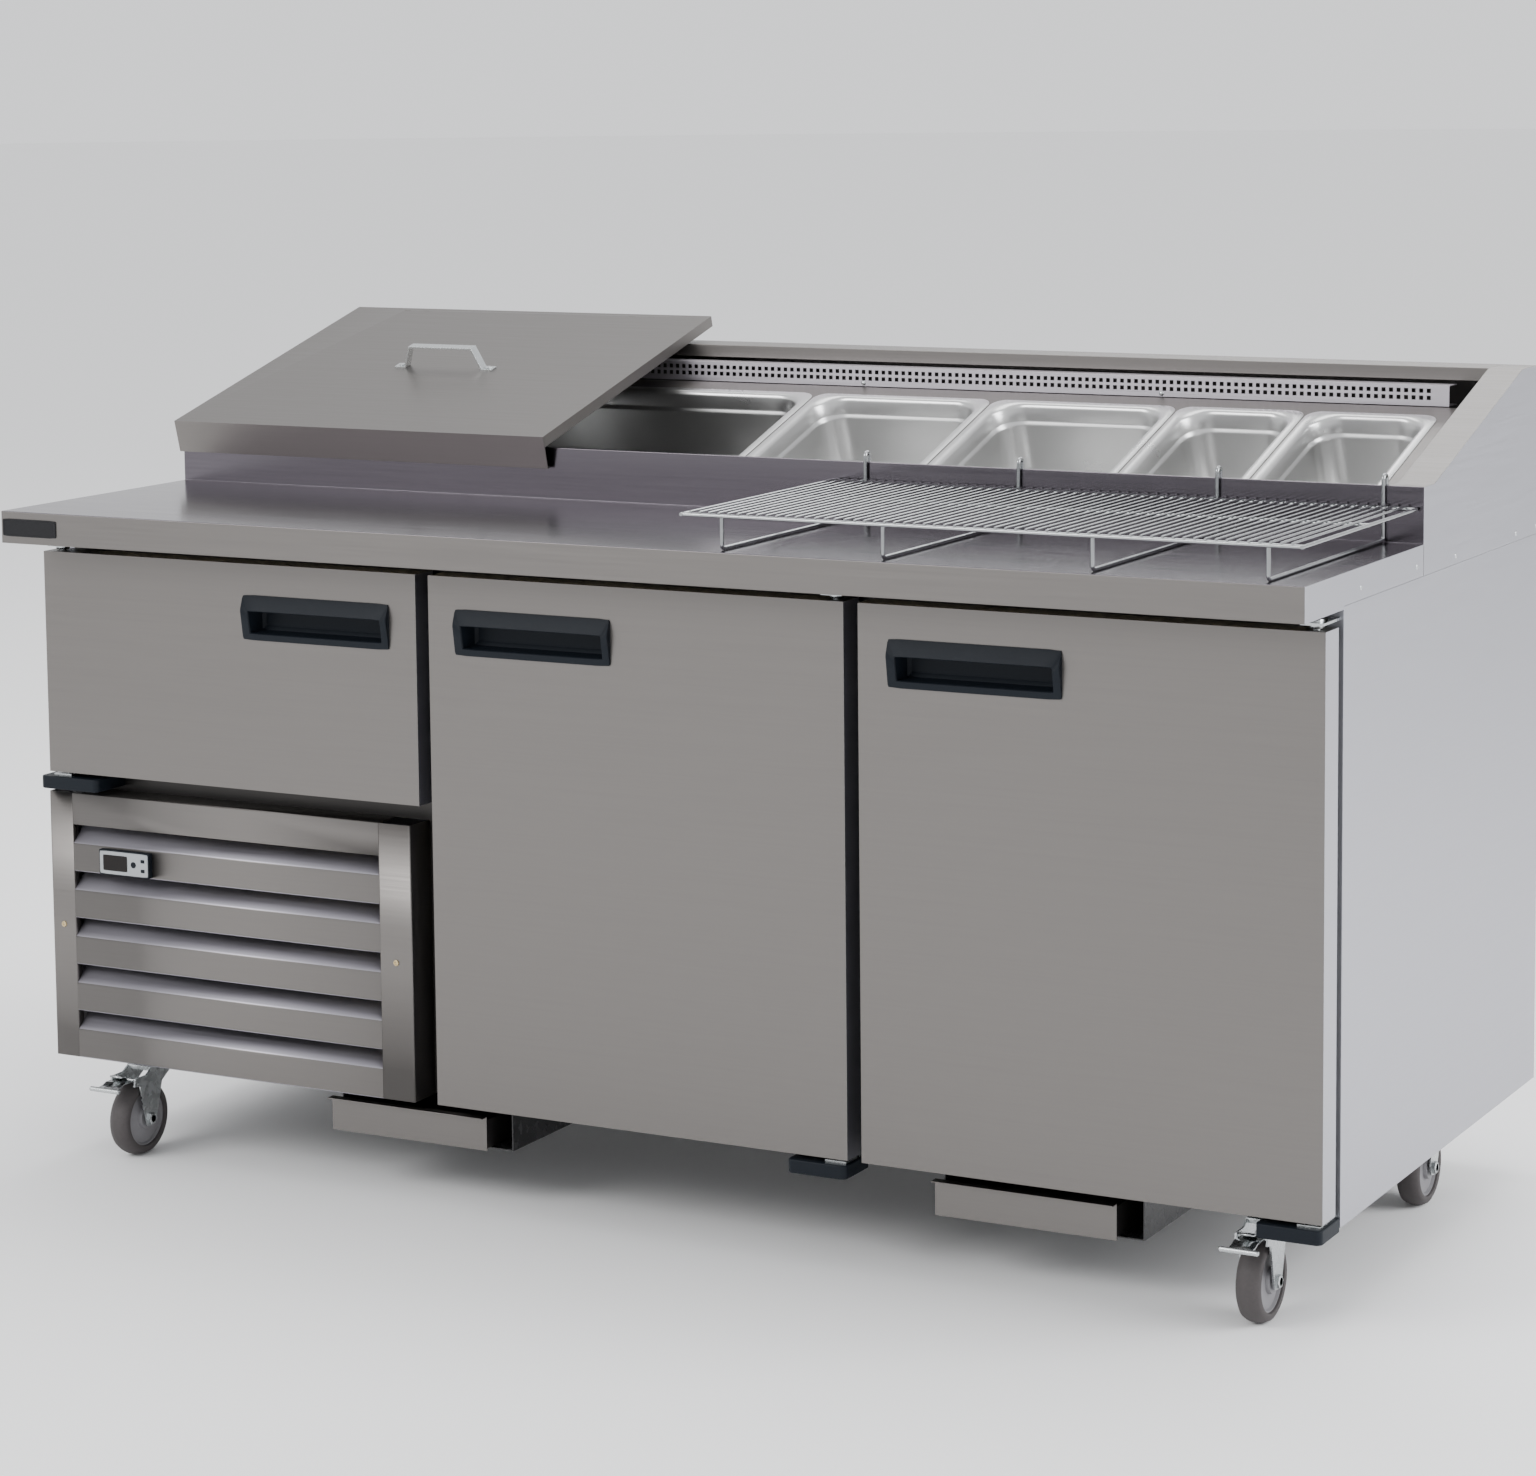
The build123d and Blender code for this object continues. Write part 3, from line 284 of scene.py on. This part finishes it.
def rim(x, z, corner, count):
    """Points round a rounded rectangle, counted evenly along its four sides. Each point of the
    plain rectangle is pulled on to the corner's circle about the nearest point of the rectangle
    shrunk by the corner radius."""
    step = np.arange(count) / count
    ones = np.ones(count)
    across = np.concatenate([x[0] + (x[1] - x[0]) * step, x[1] * ones,
                             x[1] + (x[0] - x[1]) * step, x[0] * ones])
    along = np.concatenate([z[0] * ones, z[0] + (z[1] - z[0]) * step,
                            z[1] * ones, z[1] + (z[0] - z[1]) * step])
    spot = np.column_stack([across, along])
    low = np.array([x[0] + corner, z[0] + corner])
    high = np.array([x[1] - corner, z[1] - corner])
    near = np.clip(spot, low, high)
    gap = spot - near
    reach = np.linalg.norm(gap, axis=1, keepdims=True)
    return near + corner * gap / np.maximum(reach, 1e-9)


def woven(name, points, finish, body, wrap=(False, True), angle=32, others=()):
    """A surface through a grid of points: each cell of the grid is one four-sided face. Points
    that fall together are merged, which closes a pole, and the faces are turned outward."""
    rows, columns = points.shape[:2]
    index = np.arange(rows * columns).reshape(rows, columns)
    if wrap[0]:
        index = np.vstack([index, index[:1]])
    if wrap[1]:
        index = np.hstack([index, index[:, :1]])
    cells = np.stack(
        [index[:-1, :-1], index[:-1, 1:], index[1:, 1:], index[1:, :-1]], axis=-1
    ).reshape(-1, 4)
    mesh = bpy.data.meshes.new(name)
    mesh.from_pydata(points.reshape(-1, 3).tolist(), [], cells.tolist())
    shape = bmesh.new()
    shape.from_mesh(mesh)
    bmesh.ops.remove_doubles(shape, verts=shape.verts, dist=0.000005)
    bmesh.ops.recalc_face_normals(shape, faces=shape.faces)
    shape.to_mesh(mesh)
    shape.free()
    mesh.materials.append(finish)
    patch(mesh, *others)
    mesh.shade_smooth()
    mesh.set_sharp_from_angle(angle=radians(angle))
    piece = bpy.data.objects.new(name, mesh)
    bpy.context.scene.collection.objects.link(piece)
    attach(piece, body)
    return piece


def stacked(layers, count=8):
    """Rounded rectangles one behind the other, each (x limits, depth y, z limits, corner), with
    the first and the last drawn in to their middles, so that the stack is a closed shell."""
    rings = []
    for x, y, z, corner in layers:
        flat = rim(x, z, corner, count)
        rings.append(np.column_stack([flat[:, 0], np.full(len(flat), y), flat[:, 1]]))
    first = np.tile(rings[0].mean(0), (len(rings[0]), 1))
    last = np.tile(rings[-1].mean(0), (len(rings[-1]), 1))
    return np.array([first, *rings, last])


def inset(limits, by):
    """Limits drawn in by the same amount at both ends."""
    return (limits[0] + by, limits[1] - by)


apron_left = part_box("worktop")[0].x
apron_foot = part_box("side_panel_left")[1].z - 0.004
PLATE_X = (apron_left + 0.003, apron_left + 0.089)
PLATE_Z = (apron_foot + 0.0095, apron_foot + 0.0325)
dark_plate = noise_finish(
    "dark_maker_plate", (0.004, 0.004, 0.005), (0.010, 0.010, 0.012), (0.3, 0.45), (300, 300, 300),
    0.0, 0.03, shine=0.25
)
woven(
    "blank_maker_plate",
    stacked([
        (PLATE_X, apron_y + 0.0002, PLATE_Z, 0.0025),
        (PLATE_X, apron_y - 0.0010, PLATE_Z, 0.0025),
        (inset(PLATE_X, 0.0006), apron_y - 0.0016, inset(PLATE_Z, 0.0006), 0.002),
        (inset(PLATE_X, 0.0022), apron_y - 0.0016, inset(PLATE_Z, 0.0022), 0.0012),
        (inset(PLATE_X, 0.0026), apron_y - 0.0012, inset(PLATE_Z, 0.0026), 0.001),
    ]),
    dark_plate, "cabinet",
)

# ------------------------------------------------------------------ hood
# Hollow folded cheeks and a folded bar across the top close the pan well, and an inner ledge
# carries the pans. The dark duct behind them blows cold air through two rows of holes.
# Faces turned along X or to the back get the lighter tone as painted light; the rest, the ledge and
# the bars the darker tone as painted shade.
eased("hood_sides", "hood_cheeks", shaded_sheet_tone, "cabinet", 0.0012,
      others=[(lit_sheet_tone, outward)])
eased("rear_top_bar", "hood_top_bar", shaded_sheet_tone, "cabinet", 0.0012,
      others=[(lit_sheet_tone, outward)])
dress(shaded_sheet_tone, "pan_frame", "divider_bars")
duct_paint = noise_finish(
    "shaded_duct_sheet", (0.50, 0.47, 0.51), (0.58, 0.55, 0.59), (0.35, 0.5), (8, 300, 300), 1.0
)
dress(duct_paint, "air_duct")

# ------------------------------------------------------------------ rivets and duct screws
# Five blind rivets close each end of the hood and worktop, and three pan-head screws hold
# the duct's front.


def turned(profile, centre, axis, count=32):
    """A surface of revolution: each (radius, distance along the axis) pair is carried round a
    circle in the plane square to the axis, 0 for X, 1 for Y or 2 for Z."""
    profile = np.array(profile)
    angle = np.linspace(0, 2 * pi, count, endpoint=False)
    others = [n for n in range(3) if n != axis]
    grid = np.empty((len(profile), count, 3))
    grid[:, :, axis] = profile[:, 1:]
    grid[:, :, others[0]] = profile[:, :1] * np.cos(angle)
    grid[:, :, others[1]] = profile[:, :1] * np.sin(angle)
    return grid + np.array(centre)


def dome(radius, height, way):
    """The profile of a fastener's head: a quarter ellipse from its rim up to its middle."""
    rise = np.linspace(0, pi / 2, 6)
    curve = np.column_stack([radius * np.cos(rise), way * height * np.sin(rise)])
    return [(0.0, -way * 0.0006), (radius, -way * 0.0006), *curve.tolist()]


zinc = noise_finish(
    "zinc_plate", (0.46, 0.48, 0.485), (0.58, 0.60, 0.605), (0.2, 0.34), (120, 120, 120), 1.0, 0.05
)
yellow_zinc = noise_finish(
    "yellow_zinc", (0.50, 0.40, 0.22), (0.62, 0.50, 0.30), (0.25, 0.4), (200, 200, 200), 1.0, 0.05
)
wall_low, wall_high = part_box("side_panel_left")[0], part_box("side_panel_right")[1]
RIVETS = [(-0.250, 0.014), (-0.055, 0.014), (0.090, 0.010), (0.330, 0.010), (0.415, 0.010)]
for side, wall_x, way in (("left", wall_low.x, -1), ("right", wall_high.x, 1)):
    for number, (rivet_y, above) in enumerate(RIVETS, 1):
        head = turned(dome(0.0034, 0.0010, way), (wall_x, rivet_y, wall_high.z + above), 0, 18)
        woven(f"blind_rivet_{side}_{number}", head, zinc, "cabinet")
duct_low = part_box("air_duct")[0]
DUCT_SCREWS = (-0.575, -0.015, 0.421)
for number, screw_x in enumerate(DUCT_SCREWS, 1):
    dome_head = turned(
        dome(0.0034, 0.0022, -1), (screw_x, duct_low.y, duct_low.z + 0.0042), 1, 18
    )
    screw = woven(f"duct_screw_{number}", dome_head, zinc, "cabinet")
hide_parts("screws_and_rivets")

# ------------------------------------------------------------------ food pans
# Deep-drawn pans of bright stainless, hung by their rims on the sloping ledge. Each has a
# flat rim, a stacking shoulder below it, tapered walls and a rounded floor.
drawn_steel = noise_finish(
    "deep_drawn_steel", (0.54, 0.54, 0.535), (0.61, 0.61, 0.605), (0.26, 0.34), (9, 9, 9), 1.0, 0.0
)
PAN_SLOPE = atan2(0.110, 0.343)
PAN_LONG = 0.323
PAN_INSIDE = [
    (0.0402, 0.0990, 0.024), (0.0320, 0.0983, 0.028), (0.0262, 0.0945, 0.030),
    (0.0225, 0.0860, 0.031), (0.0186, 0.0300, 0.034), (0.0180, 0.0262, 0.035),
    (0.0162, 0.0242, 0.036), (0.0156, 0.0215, 0.037),
    (0.0140, 0.0055, 0.037), (0.0124, 0.0022, 0.036), (0.0104, 0.0005, 0.034), (0.0080, 0.0, 0.028),
    (0.0012, 0.0, 0.0195),
]
PAN_OUTSIDE = [
    (0.0, 0.0006, 0.020), (0.0008, 0.0013, 0.020), (0.0100, 0.0014, 0.034),
    (0.0126, 0.0050, 0.038), (0.0144, 0.0220, 0.038), (0.0168, 0.0260, 0.036),
    (0.0174, 0.0300, 0.035), (0.0212, 0.0865, 0.033), (0.0250, 0.0958, 0.031),
    (0.0315, 0.0998, 0.029), (0.0402, 0.1005, 0.025),
]


def pan_shell(low, high):
    """Rounded rectangles on the sloped rim plane, each drawn in and sunk by its own amounts,
    from the middle of the floor up the inside, over the rim and down the outside again. The
    rim's rear edge is its front edge carried uphill by the rim's length."""
    uphill = np.array([cos(PAN_SLOPE), sin(PAN_SLOPE)])
    square = np.array([-sin(PAN_SLOPE), cos(PAN_SLOPE)])
    rear = np.array([low.y + PAN_LONG * cos(PAN_SLOPE), high.z])
    rings = []
    for inward, sunk, corner in PAN_INSIDE + PAN_OUTSIDE:
        flat = rim(inset((low.x, high.x), inward), (-PAN_LONG + inward, -inward), corner, 56)
        place = rear + flat[:, 1:] * uphill - sunk * square
        rings.append(np.column_stack([flat[:, 0], place]))
    middles = [np.tile(ring.mean(0), (len(ring), 1)) for ring in (rings[0], rings[-1])]
    return np.array([middles[0], *rings, middles[1]])


for pan in ("third_pan_left", "full_pan", "half_pan_left", "half_pan_right", "third_pan_middle",
            "third_pan_right"):
    drawn = woven(f"drawn_{pan}", pan_shell(*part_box(pan)), drawn_steel, pan, angle=60)
    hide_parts(pan)

# ------------------------------------------------------------------ lid
# A folded brushed lid over the left third, welded at its corners, with a bent strap handle
# held by two nuts, on two pinned hinges behind.
eased("lid_panel", "folded_lid", shaded_sheet_tone, "lid", 0.0012)
eased("lid_handle", "bent_strap_handle", zinc, "lid", 0.0008)
dress(zinc, "lid_hinges")

# ------------------------------------------------------------------ doors
# Each door is a folded brushed skin on foam, with a magnetic gasket in a groove round its
# inner face and a moulded pull let into its upper corner, away from the hinge.
# Each skin's sides get the lighter tone as painted light, and its front the darker tone as painted
# shade.
for door in ("half_door", "middle_door", "right_door"):
    eased(f"{door}_panel", f"{door}_skin", shaded_sheet_tone, door, 0.0012,
          others=[(lit_sheet_tone, sideways)])
    dress(embossed, f"{door}_inner")

rubber = noise_finish(
    "gasket_rubber", (0.10, 0.10, 0.10), (0.16, 0.16, 0.16), (0.6, 0.75), (90, 90, 90), 0.0, 0.2
)
moulded = noise_finish(
    "moulded_black", (0.004, 0.006, 0.009), (0.009, 0.012, 0.017), (0.42, 0.55), (500, 500, 500),
    0.0, 0.08, 0.0003, 0.14
)
GASKET_SECTION = [
    (0.0, 0.0), (0.0, 0.35), (0.6, 0.5), (0.6, 0.62), (0.0, 0.72), (0.0, 0.94), (1.2, 1.0),
    (16.8, 1.0), (18.0, 0.94), (18.0, 0.72), (17.4, 0.62), (17.4, 0.5), (18.0, 0.35), (18.0, 0.0),
]
for door in ("half_door", "middle_door", "right_door"):
    low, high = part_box(f"{door}_gasket")
    loops = []
    for inward, depth in GASKET_SECTION:
        edge = rim(
            inset((low.x, high.x), inward / 1000), inset((low.z, high.z), inward / 1000), 0.004, 10
        )
        rise = np.full(len(edge), low.y + depth * (high.y - low.y))
        loops.append(np.column_stack([edge[:, 0], rise, edge[:, 1]]))
    gasket = woven(
        f"{door}_magnetic_gasket", np.array(loops), rubber, door, (True, True)
    )
    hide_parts(f"{door}_gasket")


def pull_shell(low, high, face_y):
    """The pull's shell as nested rounded rectangles from the door's face, out over its wedge and
    back into the cup. The wedge stands out in proportion to the nearness of a point's height to
    the lip above the cup, from 1 mm at the top edge to 9 mm at the lip and 2 mm at the foot."""
    tall = high.z - low.z
    lip = high.z - 0.33 * tall
    mouth_x = (low.x + 0.011, high.x - 0.009)
    mouth_z = (low.z + 0.008, lip)
    layers = [
        ((low.x, high.x), (low.z, high.z), 0.003, 0.0, 0.0),
        ((low.x, high.x), (low.z, high.z), 0.003, 0.92, 0.0),
        (inset((low.x, high.x), 0.0012), inset((low.z, high.z), 0.0012), 0.002, 1.0, 0.0),
        (mouth_x, mouth_z, 0.0015, 1.0, 0.0),
        (inset(mouth_x, 0.001), inset(mouth_z, 0.001), 0.001, 1.0, 0.0014),
        (inset(mouth_x, 0.0016), inset(mouth_z, 0.001), 0.001, 0.0, 0.004),
        (inset(mouth_x, 0.004), (mouth_z[0] + 0.003, mouth_z[1] + 0.006), 0.003, 0.0, 0.020),
        (inset(mouth_x, 0.008), (mouth_z[0] + 0.008, mouth_z[1] + 0.001), 0.003, 0.0, 0.0235),
    ]
    rings = []
    for x, z, corner, wedge, back in layers:
        flat = rim(x, z, corner, 14)
        height = np.interp(flat[:, 1], [low.z, lip, high.z], [0.0022, 0.0088, 0.0012])
        rings.append(np.column_stack([flat[:, 0], face_y - wedge * height + back, flat[:, 1]]))
    last = np.tile(rings[-1].mean(0), (len(rings[-1]), 1))
    return np.array([*rings, last])


for door in ("half_door", "middle_door", "right_door"):
    low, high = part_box(f"{door}_handle")
    face_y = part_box(f"{door}_panel")[0].y
    pull = woven(
        f"{door}_moulded_pull", pull_shell(low, high, face_y), moulded, door,
        angle=24,
    )
    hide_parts(f"{door}_handle")

# ------------------------------------------------------------------ door hinges
# Steel plates with pins above and below each door, black moulded covers below them, and a
# bright two-step bush on each upper pin, in the gap between the door and the apron.
eased("hinge_blocks", "moulded_hinge_covers", moulded, "cabinet", 0.0016, 3)
dress(zinc, "hinge_pins")
BUSH = [(0.0, 0.0), (0.0085, 0.0), (0.0090, 0.0006), (0.0090, 0.0042), (0.0078, 0.0048),
        (0.0078, 0.0064), (0.0090, 0.0070), (0.0090, 0.0104), (0.0085, 0.0110), (0.0, 0.0110)]
for door, side in (("half_door", 0), ("middle_door", 1), ("right_door", 1)):
    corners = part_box(f"{door}_panel")
    hinge_x = corners[side].x + (0.018 if side == 0 else -0.018)
    woven(f"{door}_hinge_bush",
          turned(BUSH, (hinge_x, corners[0].y + 0.018, corners[1].z + 0.0015), 2, 28), zinc,
          "cabinet", angle=50)

# ------------------------------------------------------------------ louvre grille
# The machine bay's cover: two stiles, a top rail and five louvre blades of brushed sheet.
# Each blade's flat face ends in a soft bend, and its flange slopes up and back.
grille_low, grille_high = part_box("louvre_grille")
face_y = grille_low.y
SLOT_X = (grille_low.x + 0.037, grille_high.x - 0.048)
SLOT_PITCH = 0.063
FIRST_SLOT = grille_low.z + 0.039
SLOT_H = 0.025


def bent(path, x, name, finish, body, thick=0.0012, others=()):
    """A strip of sheet: a bent path in the Y-Z plane carried straight along X, given its
    thickness behind the path."""
    path = np.array(path)
    run = np.linspace(x[0], x[1], 3)
    grid = np.empty((len(path), len(run), 3))
    grid[:, :, 0] = run[None, :]
    grid[:, :, 1] = path[:, :1]
    grid[:, :, 2] = path[:, 1:]
    piece = woven(name, grid, finish, body, (False, False), 40, others)
    wall = piece.modifiers.new("sheet", "SOLIDIFY")
    wall.thickness = thick
    wall.offset = 0.0
    return piece


def upward(facing, middle):
    """Faces of a strip that lean well away from upright, whichever way they are turned; they get a
    lighter tone, which is painted light.
    """
    return abs(facing[:, 2]) > 0.45


def louvre_path(low, bend_z, rise, run):
    """Down to up: a short return, the flat face, a quarter-like bend and the sloping flange."""
    slope = np.arctan2(rise, run)
    turn_by = np.linspace(0, pi / 2 - slope, 7)
    bend_r = 0.005
    bend = np.column_stack([
        face_y + bend_r - bend_r * np.cos(turn_by),
        bend_z - bend_r * 0.6 + bend_r * np.sin(turn_by),
    ])
    end = bend[-1] + np.array([run, rise])
    start = [[face_y + 0.006, low], [face_y + 0.001, low], [face_y, low + 0.001],
             [face_y, low + 0.002], [face_y, bend[0, 1] - 0.001]]
    lip = bend[-1] + 0.05 * np.array([run, rise])
    return [*start, *bend.tolist(), lip.tolist(), end.tolist()]


# The blades' flanges get a lighter lilac tone as painted light, and their upright faces the darker
# tone as painted shade.
lit_flange_tone = noise_finish(
    "flange_lit_tone", (0.40, 0.385, 0.43), (0.46, 0.445, 0.49), (0.5, 0.6), (6, 420, 420)
)
for step in range(5):
    bottom = grille_low.z if step == 0 else FIRST_SLOT + (step - 1) * SLOT_PITCH + SLOT_H
    top = FIRST_SLOT + step * SLOT_PITCH
    bent(louvre_path(bottom, top, 0.0185, 0.021), SLOT_X, f"louvre_blade_{step + 1}", shaded_sheet_tone,
         "cabinet", others=[(lit_flange_tone, upward)])
rail_z = FIRST_SLOT + 4 * SLOT_PITCH + SLOT_H
back_y = grille_high.y
bent([(back_y, grille_high.z), (face_y + 0.001, grille_high.z), (face_y, grille_high.z - 0.001),
      (face_y, rail_z), (face_y + 0.006, rail_z)], SLOT_X, "grille_top_rail", shaded_sheet_tone,
     "cabinet")


def stile_shell(x, outer, deep):
    """A stile as an open box section in plan: the outer return, a rounded corner, the flat face
    and a short inner return, carried up from the bottom to the top."""
    way = 1 if outer == x[0] else -1
    inner = x[1] if way > 0 else x[0]
    corner = np.linspace(0, pi / 2, 5)
    bend_r = 0.0015
    bend = np.column_stack([
        outer + way * (bend_r - bend_r * np.cos(corner)), face_y + bend_r - bend_r * np.sin(corner)
    ])
    plan = np.vstack([
        [outer, deep], [outer, face_y + bend_r + 0.001], bend,
        [outer + way * (bend_r + 0.001), face_y], [inner - way * 0.0016, face_y],
        [inner - way * 0.0006, face_y], [inner, face_y + 0.001], [inner, face_y + 0.010],
    ])
    levels = np.linspace(grille_low.z, grille_high.z, 3)
    grid = np.empty((len(plan), len(levels), 3))
    grid[:, :, 0] = plan[:, :1]
    grid[:, :, 1] = plan[:, 1:]
    grid[:, :, 2] = levels[None, :]
    return grid


for side, x, outer, deep in (
    ("left", (grille_low.x, SLOT_X[0]), grille_low.x, back_y),
    ("right", (SLOT_X[1], grille_high.x), grille_high.x, back_y + 0.009),
):
    stile = woven(f"grille_stile_{side}", stile_shell(x, outer, deep), shaded_sheet_tone,
                  "cabinet", (False, False), 40)
    wall = stile.modifiers.new("sheet", "SOLIDIFY")
    wall.thickness = 0.0012
    wall.offset = 0.0
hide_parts("louvre_grille")
SCREW = [(0.0, -0.0004), (0.0042, -0.0004), (0.0042, 0.0009), (0.0036, 0.0019), (0.0026, 0.0023),
         (0.0020, 0.0023), (0.0013, 0.0012), (0.0, 0.0010)]
for side, screw_x in (("left", grille_low.x + 0.018), ("right", grille_high.x - 0.024)):
    head = [(radius, -out) for radius, out in SCREW]
    woven(f"grille_screw_{side}", turned(head, (screw_x, face_y, grille_low.z + 0.179), 1, 24),
          yellow_zinc, "cabinet")

# ------------------------------------------------------------------ controller
# A snap-in temperature controller on the upper blade: a black case, a silver face with a dark
# window, and a round mark and two small keys beside it.
control_low, control_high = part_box("controller")
control_x = (control_low.x, control_high.x)
control_z = (control_low.z, control_high.z)
control_y = control_low.y
dress(moulded, "controller")
silver = noise_finish(
    "silver_face", (0.30, 0.32, 0.33), (0.36, 0.38, 0.39), (0.35, 0.45), (200, 200, 200), 0.3, 0.05
)
glass = noise_finish(
    "dark_window", (0.003, 0.002, 0.002), (0.010, 0.007, 0.006), (0.12, 0.2), (60, 60, 60),
    0.0, 0.0, shine=0.2
)


def raised(name, x, z, y, high, corner, finish):
    """A low pad with a rounded edge on a face that looks to the front."""
    edge = min(0.0006, high * 0.5)
    layers = [(x, y + 0.0002, z, corner), (x, y - high + edge, z, corner),
              (inset(x, edge), y - high, inset(z, edge), max(corner - edge, 0.0002))]
    return woven(name, stacked(layers), finish, "cabinet")


raised("controller_face", inset(control_x, 0.0012), inset(control_z, 0.0012), control_y, 0.0012,
       0.002, silver)
window_x = (control_x[0] + 0.007, control_x[0] + 0.046)
raised("controller_window", window_x, inset(control_z, 0.006), control_y - 0.0012, 0.0006, 0.001,
       glass)
for number, key_z in enumerate((0.0095, 0.0225)):
    key = (control_z[0] + key_z - 0.0022, control_z[0] + key_z + 0.0022)
    raised(f"controller_key_{number + 1}", (control_x[1] - 0.012, control_x[1] - 0.0060), key,
           control_y - 0.0012, 0.0008, 0.001, moulded)
mark = [(0.0, -0.0018), (0.0036, -0.0018), (0.0042, -0.0014), (0.0042, -0.0010), (0.0, -0.0010)]
mark_at = (control_x[0] + 0.056, control_y, sum(control_z) / 2)
woven("controller_round_key", turned(mark, mark_at, 1, 20), moulded, "cabinet")

# ------------------------------------------------------------------ drip trays
# Two pressed trays catch defrost water; each slides in a dark housing under the base.
for side in ("left", "right"):
    name = f"drip_tray_{side}"
    eased(name, f"pressed_{name}", shaded_sheet_tone, name, 0.0008)

# ------------------------------------------------------------------ castors
# Zinc-plated swivel forks on rubber-tyred wheels, each with a ball race round its stem and a
# nut at each end of its axle. The front pair has a foot brake: a tread with a rolled toe bar,
# a release tab behind it, and the pin it turns on.
STEM_BEHIND = 0.032
RACE = [(0.020, 0.0), (0.0268, 0.0003), (0.0285, 0.0025), (0.0285, 0.0050), (0.0268, 0.0078),
        (0.020, 0.0082)]
NUT = [(0.0, 0.0), (0.0066, 0.0), (0.0082, 0.0008), (0.0082, 0.0042), (0.0, 0.0042)]
TOE_BAR = [(0.0, -0.0245), (0.0022, -0.0240), (0.0032, -0.0225), (0.0032, 0.0225),
           (0.0022, 0.0240), (0.0, 0.0245)]
PIN_R = 0.003


def foot_brake(place, middle):
    """The pieces of one foot brake, laid out from the heel and the toe of the CAD pedal."""
    toe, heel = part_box(f"brake_pedal_{place}")
    body = f"brake_{place}"
    half_wide = (toe.x + heel.x) / 2 - toe.x - 0.006
    tread_z = heel.z - 0.003
    sole = [(heel.y - 0.002, tread_z), (toe.y + 0.026, tread_z),
            (toe.y + 0.018, tread_z - 0.003), (toe.y + 0.003, tread_z - 0.004)]
    pedal = bent(sole, (middle.x - half_wide, middle.x + half_wide), f"brake_tread_{place}",
                 zinc, body, 0.0024)
    tab = [(heel.y - 0.012, tread_z + 0.001), (heel.y - 0.017, tread_z + 0.0075),
           (heel.y - 0.026, tread_z + 0.0085)]
    bent(tab, (middle.x - 0.009, middle.x + 0.009), f"brake_release_{place}", zinc,
         body, 0.0022)
    bar_at = (middle.x, toe.y + 0.0035, tread_z - 0.004)
    woven(f"brake_toe_bar_{place}", turned(TOE_BAR, bar_at, 0, 20), zinc, body)
    ends = toe.x - middle.x, heel.x - middle.x
    pin = [(0.0, ends[0]), (PIN_R, ends[0]), (PIN_R, ends[1]), (0.0, ends[1])]
    pin_at = (middle.x, heel.y - 0.003, tread_z)
    woven(f"brake_pin_{place}", turned(pin, pin_at, 0, 20), zinc, body)
    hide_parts(f"brake_pedal_{place}")


tread = noise_finish(
    "grey_tyre_rubber", (0.045, 0.040, 0.040), (0.075, 0.067, 0.067), (0.55, 0.7), (260, 260, 260),
    0.0, 0.2, shine=0.3
)
hub = noise_finish(
    "grey_hub_nylon", (0.17, 0.165, 0.175), (0.22, 0.215, 0.225), (0.4, 0.5), (90, 90, 90), 0.0, 0.1
)
for place in ("front_left", "front_right", "rear_left", "rear_right"):
    low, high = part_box(f"castor_wheel_{place}")
    middle = (low + high) / 2
    half = (high.x - low.x) / 2
    radius = (high.z - low.z) / 2
    tyre_side = [
        (radius - 0.0130, half - 0.0040), (radius - 0.0120, half - 0.0016),
        (radius - 0.0080, half - 0.0004), (radius - 0.0035, half - 0.0030),
        (radius - 0.0008, half - 0.0085), (radius, half - 0.0120),
    ]
    other_side = [(r, -along) for r, along in tyre_side[::-1]]
    tyre = woven(
        f"wheel_tyre_{place}", turned(tyre_side + other_side, middle, 0, 72), tread,
        f"wheel_{place}", (True, True), 50,
    )
    hub_side = [
        (radius - 0.0130, half - 0.0042), (radius - 0.0145, half - 0.0042),
        (radius - 0.0160, half - 0.0075), (0.0200, half - 0.0068), (0.0160, half - 0.0055),
        (0.0150, half - 0.0015), (0.0145, half - 0.0008), (0.0055, half - 0.0008),
    ]
    hub_other = [(r, -along) for r, along in hub_side[::-1]]
    woven(
        f"wheel_hub_{place}", turned(hub_side + hub_other, middle, 0, 48), hub,
        f"wheel_{place}", (True, True), 30,
    )
    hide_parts(f"castor_wheel_{place}")
    eased(f"castor_fork_{place}", f"zinc_fork_{place}", zinc, f"castor_{place}", 0.0006)
    body = f"castor_{place}"
    crown_low, crown_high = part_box(f"castor_fork_{place}")
    stem = Vector((middle.x, middle.y + STEM_BEHIND, crown_high.z))
    woven(f"swivel_race_{place}", turned(RACE, stem, 2, 40), zinc, body, angle=50)
    for side, nut_x, way in (("left", crown_low.x, 1), ("right", crown_high.x, -1)):
        nut = turned([(r, way * out) for r, out in NUT], (nut_x, middle.y, middle.z), 0, 6)
        woven(f"axle_nut_{place}_{side}", nut, zinc, body, angle=20)
    if place.startswith("front"):
        foot_brake(place, middle)
dress(zinc, "castor_plates")
